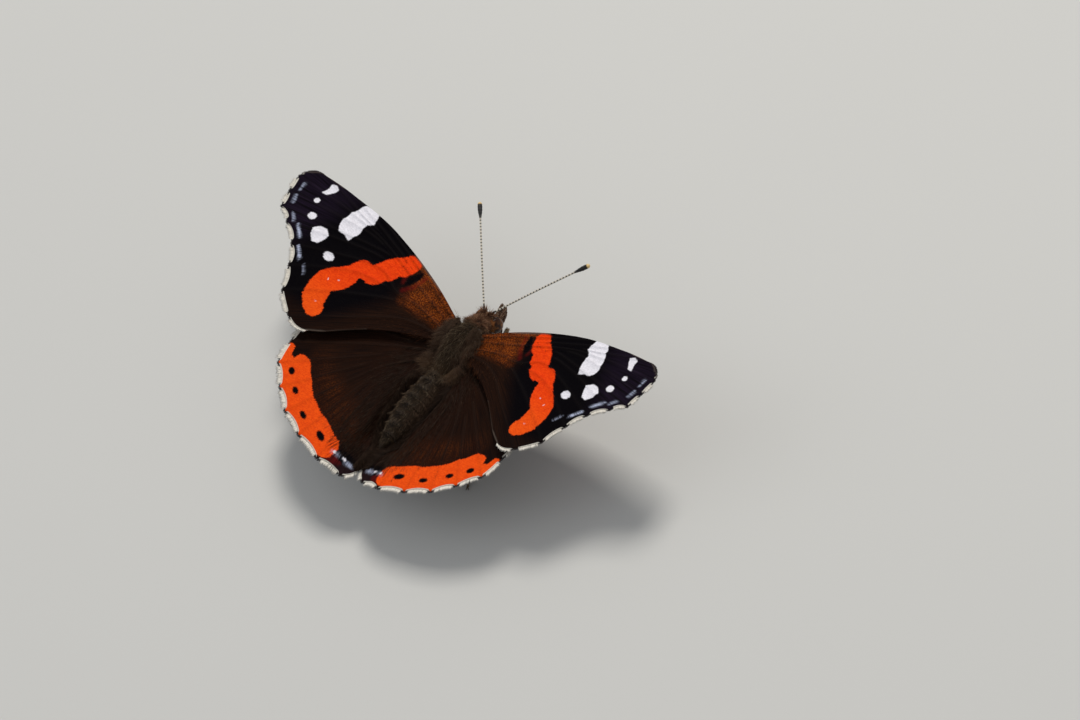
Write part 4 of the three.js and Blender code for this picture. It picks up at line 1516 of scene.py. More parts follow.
    def make_inner_hair(self) -> Shell:
        """Long hairs of the hindwing's inner margin, which lie over the side of the abdomen.

        Returns:
            The hairs.
        """
        draw = np.random.default_rng(SEED + 14)
        edge, count = self.grid.places[:, -1], self.inner_hairs
        at = draw.uniform(0.0, 1.0, count)
        at = 0.03 + 0.95 * np.where(draw.random(count) < 0.35, 0.66 + 0.34 * at, at)
        rows = np.linspace(0.0, 1.0, len(edge))
        root = np.stack([np.interp(at, rows, edge[:, k]) for k in range(2)], axis=1)
        root[:, 0] += draw.uniform(0.03, 1.1, count)
        level = self.height(root) + self.half_thickness
        normal = np.tile([0.25, 0.0, 1.0], (count, 1))
        inward = draw.uniform(-1.0, -0.35, count) * (1.0 + 0.6 * eased(at, 0.62, 0.8))
        lie = columns([inward, np.ones(count), np.full(count, 0.3)])
        cut = TuftCut(length=1.8, lift=9.0, tangle=10.0, differ=0.55, droop=0.06)
        scale = 1.0 - 0.3 * eased(at, 0.8, 0.97)
        roots = Roots(columns([root, level]), unit(normal), 0.5 + root / 80.0)
        shell = grown(roots, lie, cut, scale, SEED + 15)
        shell.points = self.set_on_body(shell.points)
        return shell.on(self.side)

    def back_to_plane(self, points: Array) -> Array:
        """Places on the body given back in the wing's own plane."""
        turn, hinge = self.seat()
        return ((points * np.array([self.side.value, 1.0, 1.0]) - hinge) @ turn)[:, :2]

    def build(self, finishes: "Finishes") -> None:
        """Builds and dresses the wing, its fringe and its hair.

        Args:
            finishes: the materials of the butterfly.
        """
        sheet, hair, coat = self.make_surface(), [], finishes.wing_hair
        sheet.dress(self.label + "_skin", Slot.WING, [finishes.wing_upper, finishes.wing_under], self.label)
        self.make_fringe().dress(self.label + "_fringe", Slot.WING, [finishes.fringe])
        if self.plan is HINDWING:
            hair, coat = [self.make_inner_hair()], finishes.inner_hair
        joined([self.make_hair(sheet), *hair]).dress(self.label + "_hair", Slot.WING, [coat])


# Body


@dataclass(frozen=True)
class Station:
    """Size of the body at one place along it."""

    along: float
    half_width: float
    top: float
    bottom: float


@dataclass
class Body:
    """Thorax, abdomen and head under one skin, with their coat of hair."""

    stations: tuple[Station, ...] = (
        Station(-2.7, 1.05, 0.3, -1.9),
        Station(-1.9, 1.9, 1.2, -2.8),
        Station(-0.6, 2.4, 1.9, -3.4),
        Station(1.0, 2.5, 2.1, -3.7),
        Station(2.8, 2.3, 1.5, -3.6),
        Station(4.2, 1.85, 0.7, -3.1),
        Station(5.3, 1.25, 0.05, -2.5),
        Station(6.6, 1.6, 0.3, -3.0),
        Station(9.5, 1.95, 0.4, -3.6),
        Station(12.5, 1.7, 0.0, -3.5),
        Station(15.0, 1.1, -0.7, -3.0),
        Station(16.5, 0.4, -1.5, -2.4),
    )
    abdomen_front: float = 5.45
    abdomen_rear: float = 16.5
    segments: int = 8
    ring_depth: float = 0.16
    thorax_coat: float = 0.14
    abdomen_coat: float = 0.1
    head_middle: Triple = (0.0, -3.7, -0.78)
    head_half: Triple = (1.28, 1.05, 1.24)
    neck_half: float = 0.85
    voxel: float = 0.12

    def envelope(self, along: Array) -> tuple[Array, Array, Array]:
        """Half width, top and bottom of the body at places along it, smooth between the stations."""
        at = np.array([s.along for s in self.stations])
        sizes = np.array([(s.half_width, s.top, s.bottom) for s in self.stations])
        last = len(at) - 1
        before, after = np.maximum(np.arange(last + 1) - 1, 0), np.minimum(np.arange(last + 1) + 1, last)
        slope = (sizes[after] - sizes[before]) / (at[after] - at[before])[:, None]
        k = np.clip(np.searchsorted(at, along, side="right") - 1, 0, last - 1)
        width = (at[k + 1] - at[k])[:, None]
        t = np.clip((along - at[k])[:, None] / width, 0.0, 1.0)
        rise = sizes[k + 1] - sizes[k]
        leave, arrive = slope[k] * width, slope[k + 1] * width
        found = sizes[k] + t * (leave + t * (3 * rise - 2 * leave - arrive + t * (leave + arrive - 2 * rise)))
        return found[:, 0], found[:, 1], found[:, 2]

    def trunk(self) -> Shell:
        """Thorax and abdomen as one tube, inside the model's sizes by the depth of the coat."""
        along = np.linspace(self.stations[0].along, self.stations[-1].along, 90)
        half, top, bottom = self.envelope(along)
        coat = self.thorax_coat + (self.abdomen_coat - self.thorax_coat) * eased(along, 4.0, 6.0)
        half, tall = np.maximum(half - coat, 0.15), np.maximum((top - bottom) / 2.0 - coat, 0.15)
        path = columns([np.zeros_like(along), along, (top + bottom) / 2.0])
        rings, sides = len(along), 48
        angle = np.arange(sides) / sides * 2 * math.pi
        across = half[:, None] * np.cos(angle)
        section = np.stack([across, np.zeros_like(across), tall[:, None] * np.sin(angle)], axis=2)
        points = (path[:, None] + section).reshape(-1, 3)
        outward = ring_quads(rings, sides)[:, [0, 3, 2, 1]]
        ends = [np.arange(sides)[None], ((rings - 1) * sides + np.arange(sides))[None, ::-1]]
        return Shell(points, [outward, *ends])

    def lumps(self) -> list[Shell]:
        """Rounded masses that the skin flows over: head, neck, wing bases and hips."""
        single = {
            "head": (self.head_middle, self.head_half, 24, 36),
            "neck": ((0.0, -2.7, -0.6), (self.neck_half + 0.15, 1.0, 1.05), 16, 24),
            "face": ((0.0, -4.45, -1.2), (0.72, 0.55, 0.8), 16, 24),
        }
        paired = {
            "collar": ((0.95, -2.0, 0.35), (0.75, 0.6, 0.55), 14, 20),
            "nape": ((0.6, -2.6, 0.05), (0.7, 0.85, 0.5), 14, 20),
            "forewing_base": ((2.3, 0.3, 0.8), (0.95, 1.9, 0.42), 14, 20),
            "between_wings": ((2.3, 1.9, 0.2), (0.85, 0.9, 0.6), 14, 20),
            "hindwing_base": ((2.2, 3.6, -0.35), (0.95, 1.9, 0.42), 14, 20),
            "waist": ((1.55, 5.4, -0.6), (0.8, 1.0, 0.32), 14, 20),
            "middle_hip": ((1.35, 0.8, -3.5), (0.6, 0.75, 1.05), 14, 20),
            "hind_hip": ((1.15, 4.15, -3.1), (0.55, 0.7, 1.0), 14, 20),
            "fore_hip": ((0.85, -1.8, -2.7), (0.45, 0.5, 0.6), 14, 20),
            "feeler_socket": ((0.52, -4.2, 0.45), (0.24, 0.24, 0.34), 12, 16),
            "palp_base": ((0.42, -4.6, -1.75), (0.34, 0.5, 0.36), 12, 16),
        }
        made = [blob(*row) for row in single.values()]
        for side in Side:
            for (x, y, z), half, rings, sides in paired.values():
                made.append(blob((side.value * x, y, z), half, rings, sides))
        return made

    def make_skin(self) -> Shell:
        """One smooth skin over the trunk and the lumps, with the rings of the abdomen pressed into it."""
        parts = [self.trunk(), *self.lumps()]
        rough = joined([Shell(p.points, p.faces) for p in parts])
        mesh = bpy.data.meshes.new("rough_skin")
        mesh.from_pydata(rough.points.tolist(), [], [f for group in rough.faces for f in group.tolist()])
        rough_object = bpy.data.objects.new("rough_skin", mesh)
        bpy.context.scene.collection.objects.link(rough_object)
        remesh = rough_object.modifiers.new("one_skin", "REMESH")
        remesh.mode, remesh.voxel_size = "VOXEL", self.voxel
        relax = rough_object.modifiers.new("relax", "SMOOTH")
        relax.factor, relax.iterations = 0.5, 6
        bpy.context.view_layer.update()
        finished = rough_object.evaluated_get(bpy.context.evaluated_depsgraph_get())
        whole = bpy.data.meshes.new_from_object(finished)
        points = np.zeros(len(whole.vertices) * 3)
        whole.vertices.foreach_get("co", points)
        faces = np.array([list(p.vertices) for p in whole.polygons])
        bpy.data.objects.remove(rough_object)
        bpy.data.meshes.remove(mesh)
        bpy.data.meshes.remove(whole)
        points = self.pressed_rings(points.reshape(-1, 3))
        return Shell(points, [faces], self.marks(points))

    def ring_share(self, along: Array) -> Array:
        """Place within a segment of the abdomen, from 0 at its front joint to 1 at its rear one."""
        return ((along - self.abdomen_front) / (self.abdomen_rear - self.abdomen_front) * self.segments) % 1.0

    def pressed_rings(self, points: Array) -> Array:
        """The skin drawn in a little at each joint of the abdomen."""
        along = points[:, 1]
        share = self.ring_share(along)
        near = 1.0 - eased(np.minimum(share, 1.0 - share), 0.0, 0.16)
        press = self.ring_depth * near * eased(along, 6.0, 6.8) * (1.0 - eased(along, 15.2, 16.2))
        _, top, bottom = self.envelope(along)
        centre = columns([np.zeros(len(points)), along, (top + bottom) / 2.0])
        return points - unit(points - centre) * press[:, None]

    def marks(self, points: Array) -> dict[str, Array]:
        """Tints of skin and coat alike.

        Args:
            points: places on the skin.

        Returns:
            Shares of the head's, abdomen's and flanks' colours, of each segment's pale rear edge with a
            painted highlight along its top, of painted shade where the hair parts behind each joint, and of
            the gold tufts at the waist.
        """
        x, along, z = points.T
        share = self.ring_share(along)
        rear = eased(along, 4.6, 6.0)
        _, top, bottom = self.envelope(along)
        side = eased(np.abs(x), 0.8, 1.9) * eased(z, -2.4, -1.0)
        middle = 1.0 - eased(np.abs(x), 0.35, 1.3)
        on_top = eased(z, (top + bottom) / 2.0, (top + bottom) / 2.0 + 0.6)
        within = 1.0 - eased(np.abs(share - 0.2), 0.1, 0.26)
        return {
            "front": 1.0 - eased(along, -3.2, -1.4),
            "rear": rear,
            "flank": 0.75 * side,
            # The segment's pale rear edge, stronger along the top middle as a painted highlight.
            "ring": rear * eased(share, 0.6, 0.9) * (0.15 + 0.4 * middle * on_top),
            # Painted shade where the hair parts just behind each joint, on the top middle only.
            "pit": rear * 0.85 * within * (1.0 - eased(np.abs(x), 0.3, 0.75)) * on_top,
            "gold": 0.12 * eased(along, 3.6, 4.4) * (1.0 - eased(along, 5.0, 5.8)) * on_top,
        }

    def unwrapped(self, points: Array) -> Array:
        """Place on the skin's own unwrap, rolled off round the body's long axis."""
        _, top, bottom = self.envelope(points[:, 1])
        return rolled_off(points[:, 0], points[:, 2] - (top + bottom) / 2.0, (points[:, 1] + 6.0) / 24.0)

    def lie(self, places: Array) -> Array:
        """The way that the coat lies: rearward, outward at the wing bases, and forward over the face.

        Args:
            places: places on the skin.

        Returns:
            One direction a place.
        """
        x, along, z = places.T
        crown = 1.2 * eased(z, -0.9, 0.0)
        face = (1.0 - eased(along - crown, -4.4, -3.4))[:, None]
        flank = eased(np.abs(x), 0.9, 2.1) * eased(z, -2.2, -0.6)
        spread = 0.12 * x + 0.9 * np.sign(x) * flank
        back = columns([spread, np.ones(len(x)), np.full(len(x), -0.08)])
        fore = columns([0.7 * x, np.full(len(x), -1.0), np.full(len(x), 0.6)])
        return back * (1.0 - face) + fore * face

    def coat(self, skin: Shell, where: Pair, count: int, cut: TuftCut, seed: int) -> Shell:
        """Hair between two places along the body.

        Args:
            skin: the finished skin.
            where: where the coat starts and ends along the body.
            count: number of hairs tried over the whole skin.
            cut: the kind of hair.
            seed: seed of the random draw.

        Returns:
            The hairs, carrying the skin's tints.
        """
        places, normals = scattered(skin, count, seed)
        roots = Roots(places, normals, self.unwrapped(places))
        keep = (places[:, 1] > where[0]) & (places[:, 1] < where[1]) & self.clear_of_parts(places)
        roots = roots.kept(keep)
        scale = self.coat_length(roots.places)
        shell = grown(roots, self.lie(roots.places), cut, scale, seed + 1)
        for key, value in self.marks(roots.places).items():
            shell.values[key] = np.repeat(value, 7)
        return shell

    def clear_of_parts(self, places: Array) -> Array:
        """Whether a place is clear of the eyes and of the feelers' sockets."""
        eyes = np.stack([np.abs(places[:, 0]) - 1.3, places[:, 1] + 3.85, places[:, 2] + 0.7], axis=1)
        sockets = np.stack([np.abs(places[:, 0]) - 0.55, places[:, 1] + 4.3, places[:, 2] - 0.85], axis=1)
        free = norm(eyes / np.array([0.76, 0.96, 1.08]), axis=1) > 1.0
        return free & (norm(sockets, axis=1) > 0.26)

    def coat_length(self, places: Array) -> Array:
        """Share of the full length: longest on the thorax's sides, shortest on the face and at the tip."""
        x, along, z = places.T
        flank = 0.7 + 0.45 * eased(np.abs(x), 0.8, 2.0)
        under = 1.0 - 0.35 * eased(-z, 1.5, 3.0)
        tip = 1.0 + 0.35 * eased(along, 14.0, 16.2)
        face = 1.0 - 0.4 * (1.0 - eased(along, -4.6, -3.6))
        return flank * under * tip * face

    def make_brow(self, skin: Shell) -> Shell:
        """Hair of the crown that stands out over the upper rims of the eyes.

        Args:
            skin: the finished skin.

        Returns:
            The hairs.
        """
        places, normals = scattered(skin, 90000, SEED + 65)
        x, along, z = places.T
        on_crown = (np.abs(x) > 0.2) & (along > -4.5) & (along < -2.4)
        on_crown = on_crown & (z > -0.9) & (normals[:, 2] > -0.2)
        roots = Roots(places, normals, self.unwrapped(places)).kept(on_crown & self.clear_of_parts(places))
        x = roots.places[:, 0]
        lie = columns([np.sign(x), np.full(len(x), -0.4), np.full(len(x), 0.3)])
        cut = TuftCut(length=1.25, lift=20.0, tangle=18.0, differ=0.45, droop=0.14)
        return grown(roots, lie, cut, np.ones(len(x)), SEED + 66)

    def build(self, finishes: "Finishes") -> None:
        """Builds and dresses the body.

        Args:
            finishes: the materials of the butterfly.
        """
        skin = self.make_skin()
        nodes = ("prothorax", "mesothorax", "metathorax", "abdomen", "head")
        skin.dress("body_skin", Slot.THORAX, [finishes.body_skin], *nodes)
        long_hair = TuftCut(length=1.7, lift=18.0, tangle=15.0, droop=0.08)
        side_hair = TuftCut(length=1.25, lift=14.0, tangle=14.0)
        down = TuftCut(
            length=0.62, lift=12.0, tangle=15.0, differ=0.4, width=0.08, thickness=0.045, droop=0.08
        )
        scales = TuftCut(length=0.5, lift=9.0, tangle=9.0, differ=0.4, width=0.1, thickness=0.045, droop=0.08)
        bristles = TuftCut(length=1.0, lift=38.0, tangle=17.0, width=0.045)
        body, head = finishes.body_hair, finishes.head_hair
        for name, where, count, cut, slot, finish, seed in (
            ("thorax_hair", (-2.9, 5.8), 26000, long_hair, Slot.THORAX, body, 21),
            ("thorax_down", (-2.9, 5.6), 26000, down, Slot.THORAX, body, 31),
            ("abdomen_scales", (5.0, 17.0), 34000, scales, Slot.ABDOMEN, body, 41),
            ("abdomen_hair", (5.2, 17.0), 16000, side_hair, Slot.ABDOMEN, body, 45),
            ("head_bristles", (-6.0, -2.2), 40000, bristles, Slot.HEAD, head, 51),
            ("head_down", (-6.0, -2.7), 30000, down, Slot.HEAD, head, 61),
        ):
            self.coat(skin, where, count, cut, SEED + seed).dress(name, slot, [finish])
        self.make_brow(skin).dress("head_brow", Slot.HEAD, [finishes.head_hair])


# Head parts


@dataclass
class Eye:
    """One compound eye."""

    side: Side
    middle: Triple = (1.3, -3.85, -0.7)
    half: Triple = (0.74, 1.0, 1.14)

    def build(self, finishes: "Finishes") -> None:
        """Builds and dresses the eye."""
        node = f"eye_{self.side.label}"
        shell = blob(self.middle, self.half, 56, 80, egg=0.05).on(self.side)
        shell.dress(f"{node}_facets", Slot.EYE, [finishes.eye], node)


@dataclass
class Palp:
    """One upturned palp beside the tongue, shaggy with hair."""

    side: Side
    path: tuple[Triple, ...] = (
        (0.4, -4.35, -1.85), (0.42, -5.05, -1.8), (0.42, -5.85, -1.45), (0.3, -6.55, -0.8),
    )
    radius: float = 0.25
    tip_radius: float = 0.07

    def build(self, finishes: "Finishes") -> None:
        """Builds and dresses the palp and its hair."""
        path = along_curve(list(self.path), 40)
        t = np.linspace(0.0, 1.0, len(path))
        radius = (self.radius * (1.0 - t**3) + self.tip_radius * t**3) * round_ended(len(path), 0.2, 2.6)
        shell = tube(path, radius * 0.85, radius, 20)
        node = f"palp_{self.side.label}"
        shell.on(self.side).dress(f"{node}_skin", Slot.HEAD, [finishes.head_skin], node)
        places, normals = scattered(shell, 6000, SEED + 71)
        unwrap = rolled_off(places[:, 0] - 0.5, places[:, 2] + 1.3, (places[:, 1] + 7.0) / 3.5)
        roots = Roots(places, normals, unwrap)
        way = unit(np.gradient(path, axis=0))
        near = norm(places[:, None] - path[None], axis=2).argmin(1)
        cut = TuftCut(
            length=0.72, lift=19.0, tangle=12.0, differ=0.55, width=0.04, thickness=0.03, droop=0.03
        )
        hair = grown(roots, way[near], cut, 1.0 - 0.4 * near / len(path), SEED + 72)
        hair.on(self.side).dress(f"{node}_hair", Slot.HEAD, [finishes.palp_hair])


@dataclass
class Antenna:
    """One feeler: a ringed shaft that swells into a club."""

    side: Side
    root: Triple = (0.5, -4.2, 0.6)
    base: Triple = (0.55, -4.3, 0.85)
    tip: Triple = (10.2, -15.0, 4.2)
    shaft: float = 0.11
    club: float = 0.3
    club_length: float = 2.6
    joints: int = 34
    sides: int = 14

    def build(self, finishes: "Finishes") -> None:
        """Builds and dresses the feeler."""
        steps = self.joints * 8
        path = along_curve([self.root, self.tip], steps)
        length = float(norm(path[-1] - path[0]))
        t = np.linspace(0.0, 1.0, len(path))
        path[:, 2] += 0.1 * np.sin(math.pi * t)
        start = 1.0 - self.club_length / length
        swell = eased(t, start, 1.0 - 0.35 * (1.0 - start))
        phase = (t * self.joints) % 1.0
        groove = 1.0 - 0.13 * (1.0 - eased(np.minimum(phase, 1.0 - phase), 0.0, 0.2))
        radius = (self.shaft + (self.club - self.shaft) * swell) * groove
        radius = radius * (1.0 + 0.35 * (1.0 - eased(t * length, 0.2, 0.9)))
        radius = radius * round_ended(len(path), 0.42, length)
        shell = tube(path, radius, radius, self.sides)
        along = shell.values["along"]
        within = (along * self.joints) % 1.0
        ring = eased(within, 0.24, 0.36) * (1.0 - eased(within, 0.86, 0.97))
        shell.values["ring"] = ring * eased(along, 0.05, 0.08) * (1.0 - eased(along, start, start + 0.05))
        shell.values["cream"] = eased(along, 0.972, 0.982)
        node = f"antenna_{self.side.label}"
        shell.on(self.side).dress(f"{node}_ringed", Slot.ANTENNA, [finishes.antenna], node)


@dataclass
class Proboscis:
    """The tongue, rolled up under the head."""

    along: float = -4.25
    height: float = -3.25
    outer: float = 0.75
    inner: float = 0.26
    turns: float = 1.7
    radius: float = 0.135
    root: Triple = (0.0, -4.1, -1.8)

    def build(self, finishes: "Finishes") -> None:
        """Builds and dresses the tongue."""
        t = np.linspace(0.0, 1.0, 130)
        angle = math.pi / 2 + t * self.turns * 2.0 * math.pi
        reach = self.outer + (self.inner - self.outer) * t
        along, height = self.along - reach * np.cos(angle), self.height + reach * np.sin(angle)
        coil = columns([0 * t, along, height])
        stem = along_curve([self.root, (0.0, -4.2, -2.1), tuple(coil[0])], 16)[:-1]
        path = np.concatenate([stem, coil])
        share = np.linspace(0.0, 1.0, len(path))
        phase = (share * 90.0) % 1.0
        radius = self.radius * (1.0 - 0.45 * share) * (1.0 - 0.1 * np.cos(2.0 * math.pi * phase))
        shell = tube(path, radius, radius, 16, np.tile([1.0, 0.0, 0.0], (len(path), 1)))
        shell.dress("proboscis_coil", Slot.LEG, [finishes.tongue], "proboscis")


# Legs


@dataclass
class Leg:
    """One walking leg: thigh, shin and a jointed foot that lies on the floor."""

    name: str
    side: Side
    hip: Triple
    knee: Triple
    ankle: Pair
    toe: Pair
    floor: float = -8.8
    thigh: float = 0.36
    shin: float = 0.2
    foot: float = 0.2
    foot_joints: int = 5

    def part(self, start: Triple, end: Triple, first: float, last: float, belly: float) -> Shell:
        """A slim limb between two joints, a little fuller in its middle."""
        path = along_curve([start, end], 28)
        t = np.linspace(0.0, 1.0, len(path))
        radius = first + (last - first) * t + belly * np.sin(math.pi * t)
        length = float(norm(np.array(end) - np.array(start)))
        radius = radius * round_ended(len(path), max(first, last), length)
        return tube(path, radius, radius, 16)

    def ankle_place(self) -> Triple:
        """Where the shin meets the foot."""
        return (self.ankle[0], self.ankle[1], self.floor + 0.26)

    def make_foot(self) -> Shell:
        """The five joints of the foot and its claws."""
        start = np.array([*self.ankle, self.floor + self.foot])
        end = np.array([*self.toe, self.floor + self.foot * 0.8])
        way = (end - start) / self.foot_joints
        parts = []
        for k in range(self.foot_joints):
            a, b = start + way * k, start + way * (k + 0.97)
            size = self.foot * (1.0 - 0.1 * k)
            parts.append(self.part(tuple(a), tuple(b), size * 0.72, size, 0.0))
        beside = unit(np.array([-way[1], way[0], 0.0]))
        forward = unit(way)
        for sign in (1.0, -1.0):
            root = end - forward * 0.15
            bend = end + forward * 0.2 + beside * 0.1 * sign + np.array([0.0, 0.0, 0.05])
            hook = end + forward * 0.34 + beside * 0.2 * sign + np.array([0.0, 0.0, -0.1])
            path = along_curve([tuple(root), tuple(bend), tuple(hook)], 12)
            radius = np.linspace(0.07, 0.02, len(path))
            parts.append(tube(path, radius, radius, 8))
        return joined(parts)

    def spines(self, shell: Shell, start: Triple, end: Triple, count: int, cut: TuftCut, seed: int) -> Shell:
        """Short hairs and spines along a limb, pointing to its far end."""
        places, normals = scattered(shell, count, seed)
        way = unit(np.array(end) - np.array(start))
        along = (places - np.array(start)) @ way / norm(np.array(end) - np.array(start))
        unwrap = rolled_off(normals[:, 0], normals[:, 2], np.clip(along, 0.0, 1.0))
        roots = Roots(places, normals, unwrap)
        shell = grown(roots, np.tile(way, (count, 1)), cut, np.ones(count), seed + 1)
        shell.points[:, 2] = np.maximum(shell.points[:, 2], self.floor + 0.01)
        return shell

    def build(self, finishes: "Finishes") -> None:
        """Builds and dresses the leg and its hair."""
        label, ankle = self.side.label, self.ankle_place()
        thigh = self.part(self.hip, self.knee, self.thigh, self.shin * 1.25, 0.06)
        shin = self.part(self.knee, ankle, self.shin * 1.1, self.shin, 0.02)
        foot = self.make_foot()
        toe = (*self.toe, self.floor + self.foot)
        down = TuftCut(length=0.34, lift=18.0, tangle=10.0, differ=0.4, width=0.045, thickness=0.03)
        spine = TuftCut(length=0.42, lift=36.0, tangle=6.0, differ=0.3, thickness=0.05, droop=0.0)
        parts = (("thigh", thigh, "femur"), ("shin", shin, "tibia"), ("foot", foot, "tarsus"))
        for part, shell, joint in parts:
            node = f"{self.name}_{joint}_{label}"
            shell.on(self.side).dress(f"{self.name}_{part}_{label}", Slot.LEG, [finishes.leg_skin], node)
        coats = [
            self.spines(thigh, self.hip, self.knee, 1100, down, SEED + 81),
            self.spines(shin, self.knee, ankle, 800, down, SEED + 83),
            self.spines(shin, self.knee, ankle, 60, spine, SEED + 85),
            self.spines(foot, ankle, toe, 500, down, SEED + 87),
        ]
        joined(coats).on(self.side).dress(f"{self.name}_hair_{label}", Slot.LEG, [finishes.leg_hair])


@dataclass
class BrushFoot:
    """One short foreleg, folded under the throat like a small brush."""

    side: Side
    path: tuple[Triple, ...] = ((0.88, -1.75, -2.95), (1.1, -3.4, -3.45), (0.95, -4.9, -3.25))
    radius: float = 0.22

    def build(self, finishes: "Finishes") -> None:
        """Builds and dresses the foreleg and its hair."""
        path = along_curve(list(self.path), 36)
        t = np.linspace(0.0, 1.0, len(path))
        radius = self.radius * (1.0 - 0.45 * t * t) * round_ended(len(path), 0.2, 3.4)
        shell = tube(path, radius * 0.85, radius, 16)
        node = f"foreleg_{self.side.label}"
        shell.on(self.side).dress(f"{node}_skin", Slot.LEG, [finishes.leg_skin], node)
        places, normals = scattered(shell, 2400, SEED + 91)
        unwrap = rolled_off(normals[:, 0], normals[:, 2], (places[:, 1] + 5.2) / 4.0)
        roots = Roots(places, normals, unwrap)
        way = unit(np.gradient(path, axis=0))
        near = norm(places[:, None] - path[None], axis=2).argmin(1)
        cut = TuftCut(length=0.7, lift=22.0, tangle=12.0)
        hair = grown(roots, way[near], cut, np.ones(len(near)), SEED + 92)
        hair.on(self.side).dress(f"{node}_hair", Slot.LEG, [finishes.leg_hair])


@dataclass
class Tegula:
    """The scaly plate over one forewing base."""

    side: Side
    middle: Triple = (1.9, -0.55, 1.48)
    half: Triple = (0.6, 1.05, 0.2)
    lean: float = 34.0

    def build(self, finishes: "Finishes") -> None:
        """Builds and dresses the plate and its hair."""
        shell = blob((0.0, 0.0, 0.0), self.half, 24, 36)
        turn = np.array(Matrix.Rotation(math.radians(self.lean), 3, "Y"))
        shell.points = shell.points @ turn.T + np.array(self.middle)
        node = f"tegula_{self.side.label}"
        shell.on(self.side).dress(f"{node}_plate", Slot.THORAX, [finishes.plate_skin], node)
        places, normals = scattered(shell, 3000, SEED + 95)
        up = normals[:, 2] > -0.1
        unwrap = columns([places[:, 0] / 4.0 + 0.2, (places[:, 1] + 2.5) / 4.0])
        roots = Roots(places, normals, np.clip(unwrap, 0.01, 0.99)).kept(up)
        count = len(roots.places)
        lie = np.tile([0.25, 1.0, -0.1], (count, 1))
        cut = TuftCut(length=1.1, lift=10.0, tangle=14.0, droop=0.12)
        hair = grown(roots, lie, cut, np.ones(count), SEED + 96)
        for key in (*BODY_TINTS, "rear"):
            hair.values[key] = np.full(len(hair.points), 0.6 if key == "flank" else 0.0)
        hair.on(self.side).dress(f"{node}_hair", Slot.THORAX, [finishes.body_hair])


# All finishes together


@dataclass
class Finishes:
    """The materials of the butterfly, each made once."""

    effects: SharedEffects = field(default_factory=SharedEffects)

    def __post_init__(self) -> None:
        """Makes each material."""
        effects = self.effects
        self.wing_upper = WingFinish().make(effects)
        self.wing_under = UndersideFinish().make(effects)
        self.fringe = FringeFinish().make()
        self.body_skin = BodyFinish().make(effects)
        self.body_hair = BodyHairFinish().make(effects)
        self.eye = EyeFinish().make()
        self.antenna = AntennaFinish().make()
        self.head_skin = SkinFinish("head_skin", srgb(40, 25, 20), srgb(78, 50, 38)).make(effects)
        self.plate_skin = SkinFinish("plate_skin", srgb(34, 28, 22), srgb(66, 54, 42)).make(effects)
        self.leg_skin = SkinFinish("leg_skin", srgb(58, 42, 30), srgb(118, 92, 66)).make(effects)
        self.tongue = SkinFinish("tongue_skin", srgb(44, 26, 16), srgb(88, 56, 32), 3.0).make(effects)
        for name, root, tip, pale, share in (
            ("head_hair", srgb(56, 36, 29), srgb(146, 102, 76), srgb(204, 168, 130), 0.24),
            ("palp_hair", srgb(34, 22, 19), srgb(100, 70, 56), srgb(204, 178, 148), 0.24),
            ("wing_hair", srgb(34, 18, 10), srgb(76, 42, 20), srgb(126, 74, 34), 0.18),
            ("inner_hair", srgb(26, 17, 11), srgb(62, 44, 32), srgb(94, 74, 60), 0.2),
            ("leg_hair", srgb(66, 50, 36), srgb(128, 106, 80), srgb(176, 160, 132), 0.3),
        ):
            setattr(self, name, HairFinish(name, root, tip, pale, share).make(effects))


# Floor, lights and camera


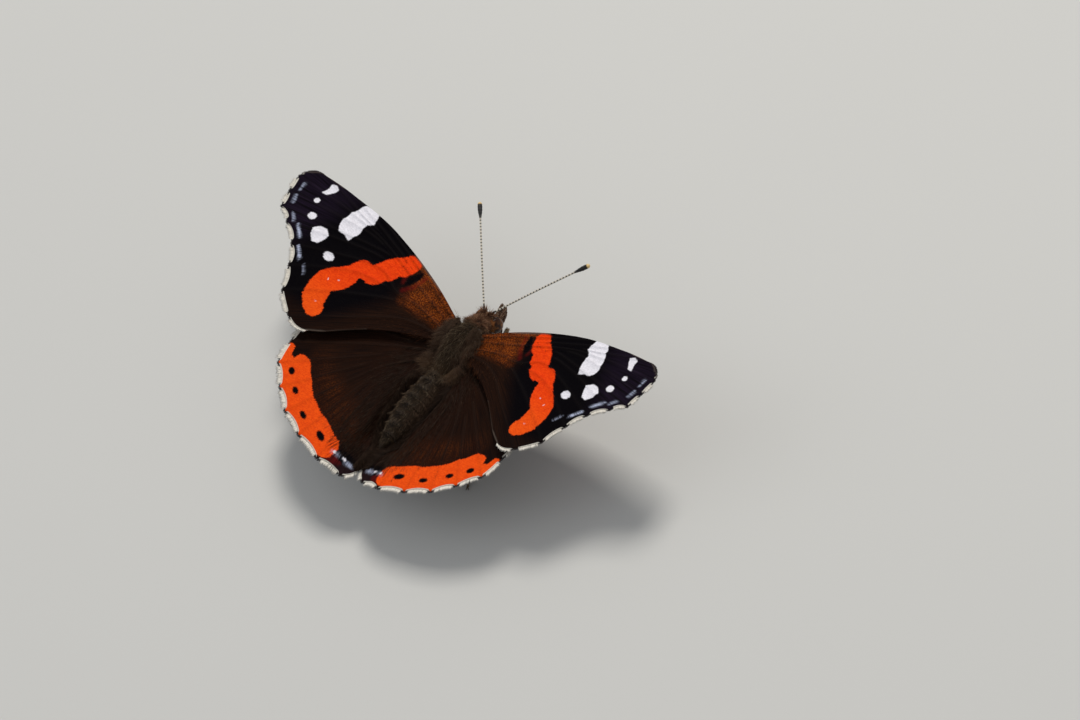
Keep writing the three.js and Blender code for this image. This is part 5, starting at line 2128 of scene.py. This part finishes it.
@dataclass
class Studio:
    """Plain pale floor, soft lights, and the camera in the photograph's place."""

    floor_half: float = 2.5
    camera_place: Triple = (-0.951013, 0.370919, 1.068284)
    camera_right: Triple = (-0.66307, -0.66007, -0.35304)
    camera_up: Triple = (0.38619, -0.70567, 0.59405)
    lens: float = 400.0
    sensor: float = 36.0
    sky: float = 0.42

    def build_floor(self) -> None:
        """The floor under the feet."""
        half = self.floor_half / MM
        corners = np.array([(-half, -half), (half, -half), (half, half), (-half, half)])
        points = columns([corners, np.zeros(4)]) - BODY_ORIGIN
        floor = Shell(points, [np.array([[0, 1, 2, 3]])]).build("floor", [FloorFinish().make()])

    def build_light(self, name: str, place: Triple, size: float, power: float, tint: Triple) -> None:
        """One soft square light aimed at the butterfly.

        Args:
            name: its name.
            place: where it stands, in metres.
            size: its side, in metres.
            power: its power, in watts.
            tint: its colour.
        """
        data = bpy.data.lights.new(name, "AREA")
        data.size, data.energy, data.color = size, power, tint
        light = bpy.data.objects.new(name, data)
        light.location = place
        light.rotation_mode = "QUATERNION"
        light.rotation_quaternion = (Vector((0.0, 0.0, 0.01)) - Vector(place)).to_track_quat("-Z", "Y")
        bpy.context.scene.collection.objects.link(light)

    def build_camera(self) -> None:
        """The camera, turned with the butterfly as in the photograph."""
        right = Vector(self.camera_right).normalized()
        up = Vector(self.camera_up)
        up = (up - right * up.dot(right)).normalized()
        back = right.cross(up)
        data = bpy.data.cameras.new("photograph_view")
        data.lens, data.sensor_width, data.sensor_fit = self.lens, self.sensor, "HORIZONTAL"
        data.clip_start, data.clip_end = 0.05, 20.0
        camera = bpy.data.objects.new("photograph_view", data)
        turn = Matrix((right, up, back)).transposed().to_4x4()
        camera.matrix_world = Matrix.Translation(Vector(self.camera_place)) @ turn
        bpy.context.scene.collection.objects.link(camera)
        bpy.context.scene.camera = camera

    def build(self) -> None:
        """Builds floor, lights, sky and camera."""
        self.build_floor()
        self.build_light("key", (0.1, -0.48, 0.78), 0.25, 5.4, (1.0, 0.96, 0.9))
        self.build_light("fill", (0.6, 0.5, 0.6), 0.7, 1.0, (0.92, 0.96, 1.0))
        world = bpy.data.worlds.new("soft_sky")
        world.use_nodes = True
        background = world.node_tree.nodes["Background"]
        background.inputs["Color"].default_value = (0.95, 0.97, 1.0, 1.0)
        background.inputs["Strength"].default_value = self.sky
        bpy.context.scene.world = world
        bpy.context.scene.view_settings.view_transform = "Standard"
        self.build_camera()


def main() -> None:
    """Builds the butterfly piece by piece, then its studio."""
    logging.basicConfig(level=logging.INFO, format="%(message)s")
    finishes = Finishes()
    Body().build(finishes)
    Proboscis().build(finishes)
    for side in Side:
        for plan in (FOREWING, HINDWING):
            Wing(plan, side).build(finishes)
        Eye(side).build(finishes)
        Palp(side).build(finishes)
        Antenna(side).build(finishes)
        BrushFoot(side).build(finishes)
        Tegula(side).build(finishes)
        Leg("middle", side, (1.7, 1.0, -4.5), (5.4, -0.4, -3.3), (7.3, -1.4), (10.6, -4.3)).build(finishes)
        Leg("hind", side, (1.4, 4.3, -4.1), (4.8, 7.0, -3.4), (6.4, 9.4), (9.0, 13.3)).build(finishes)
    Studio().build()


if __name__ == "__main__":
    main()
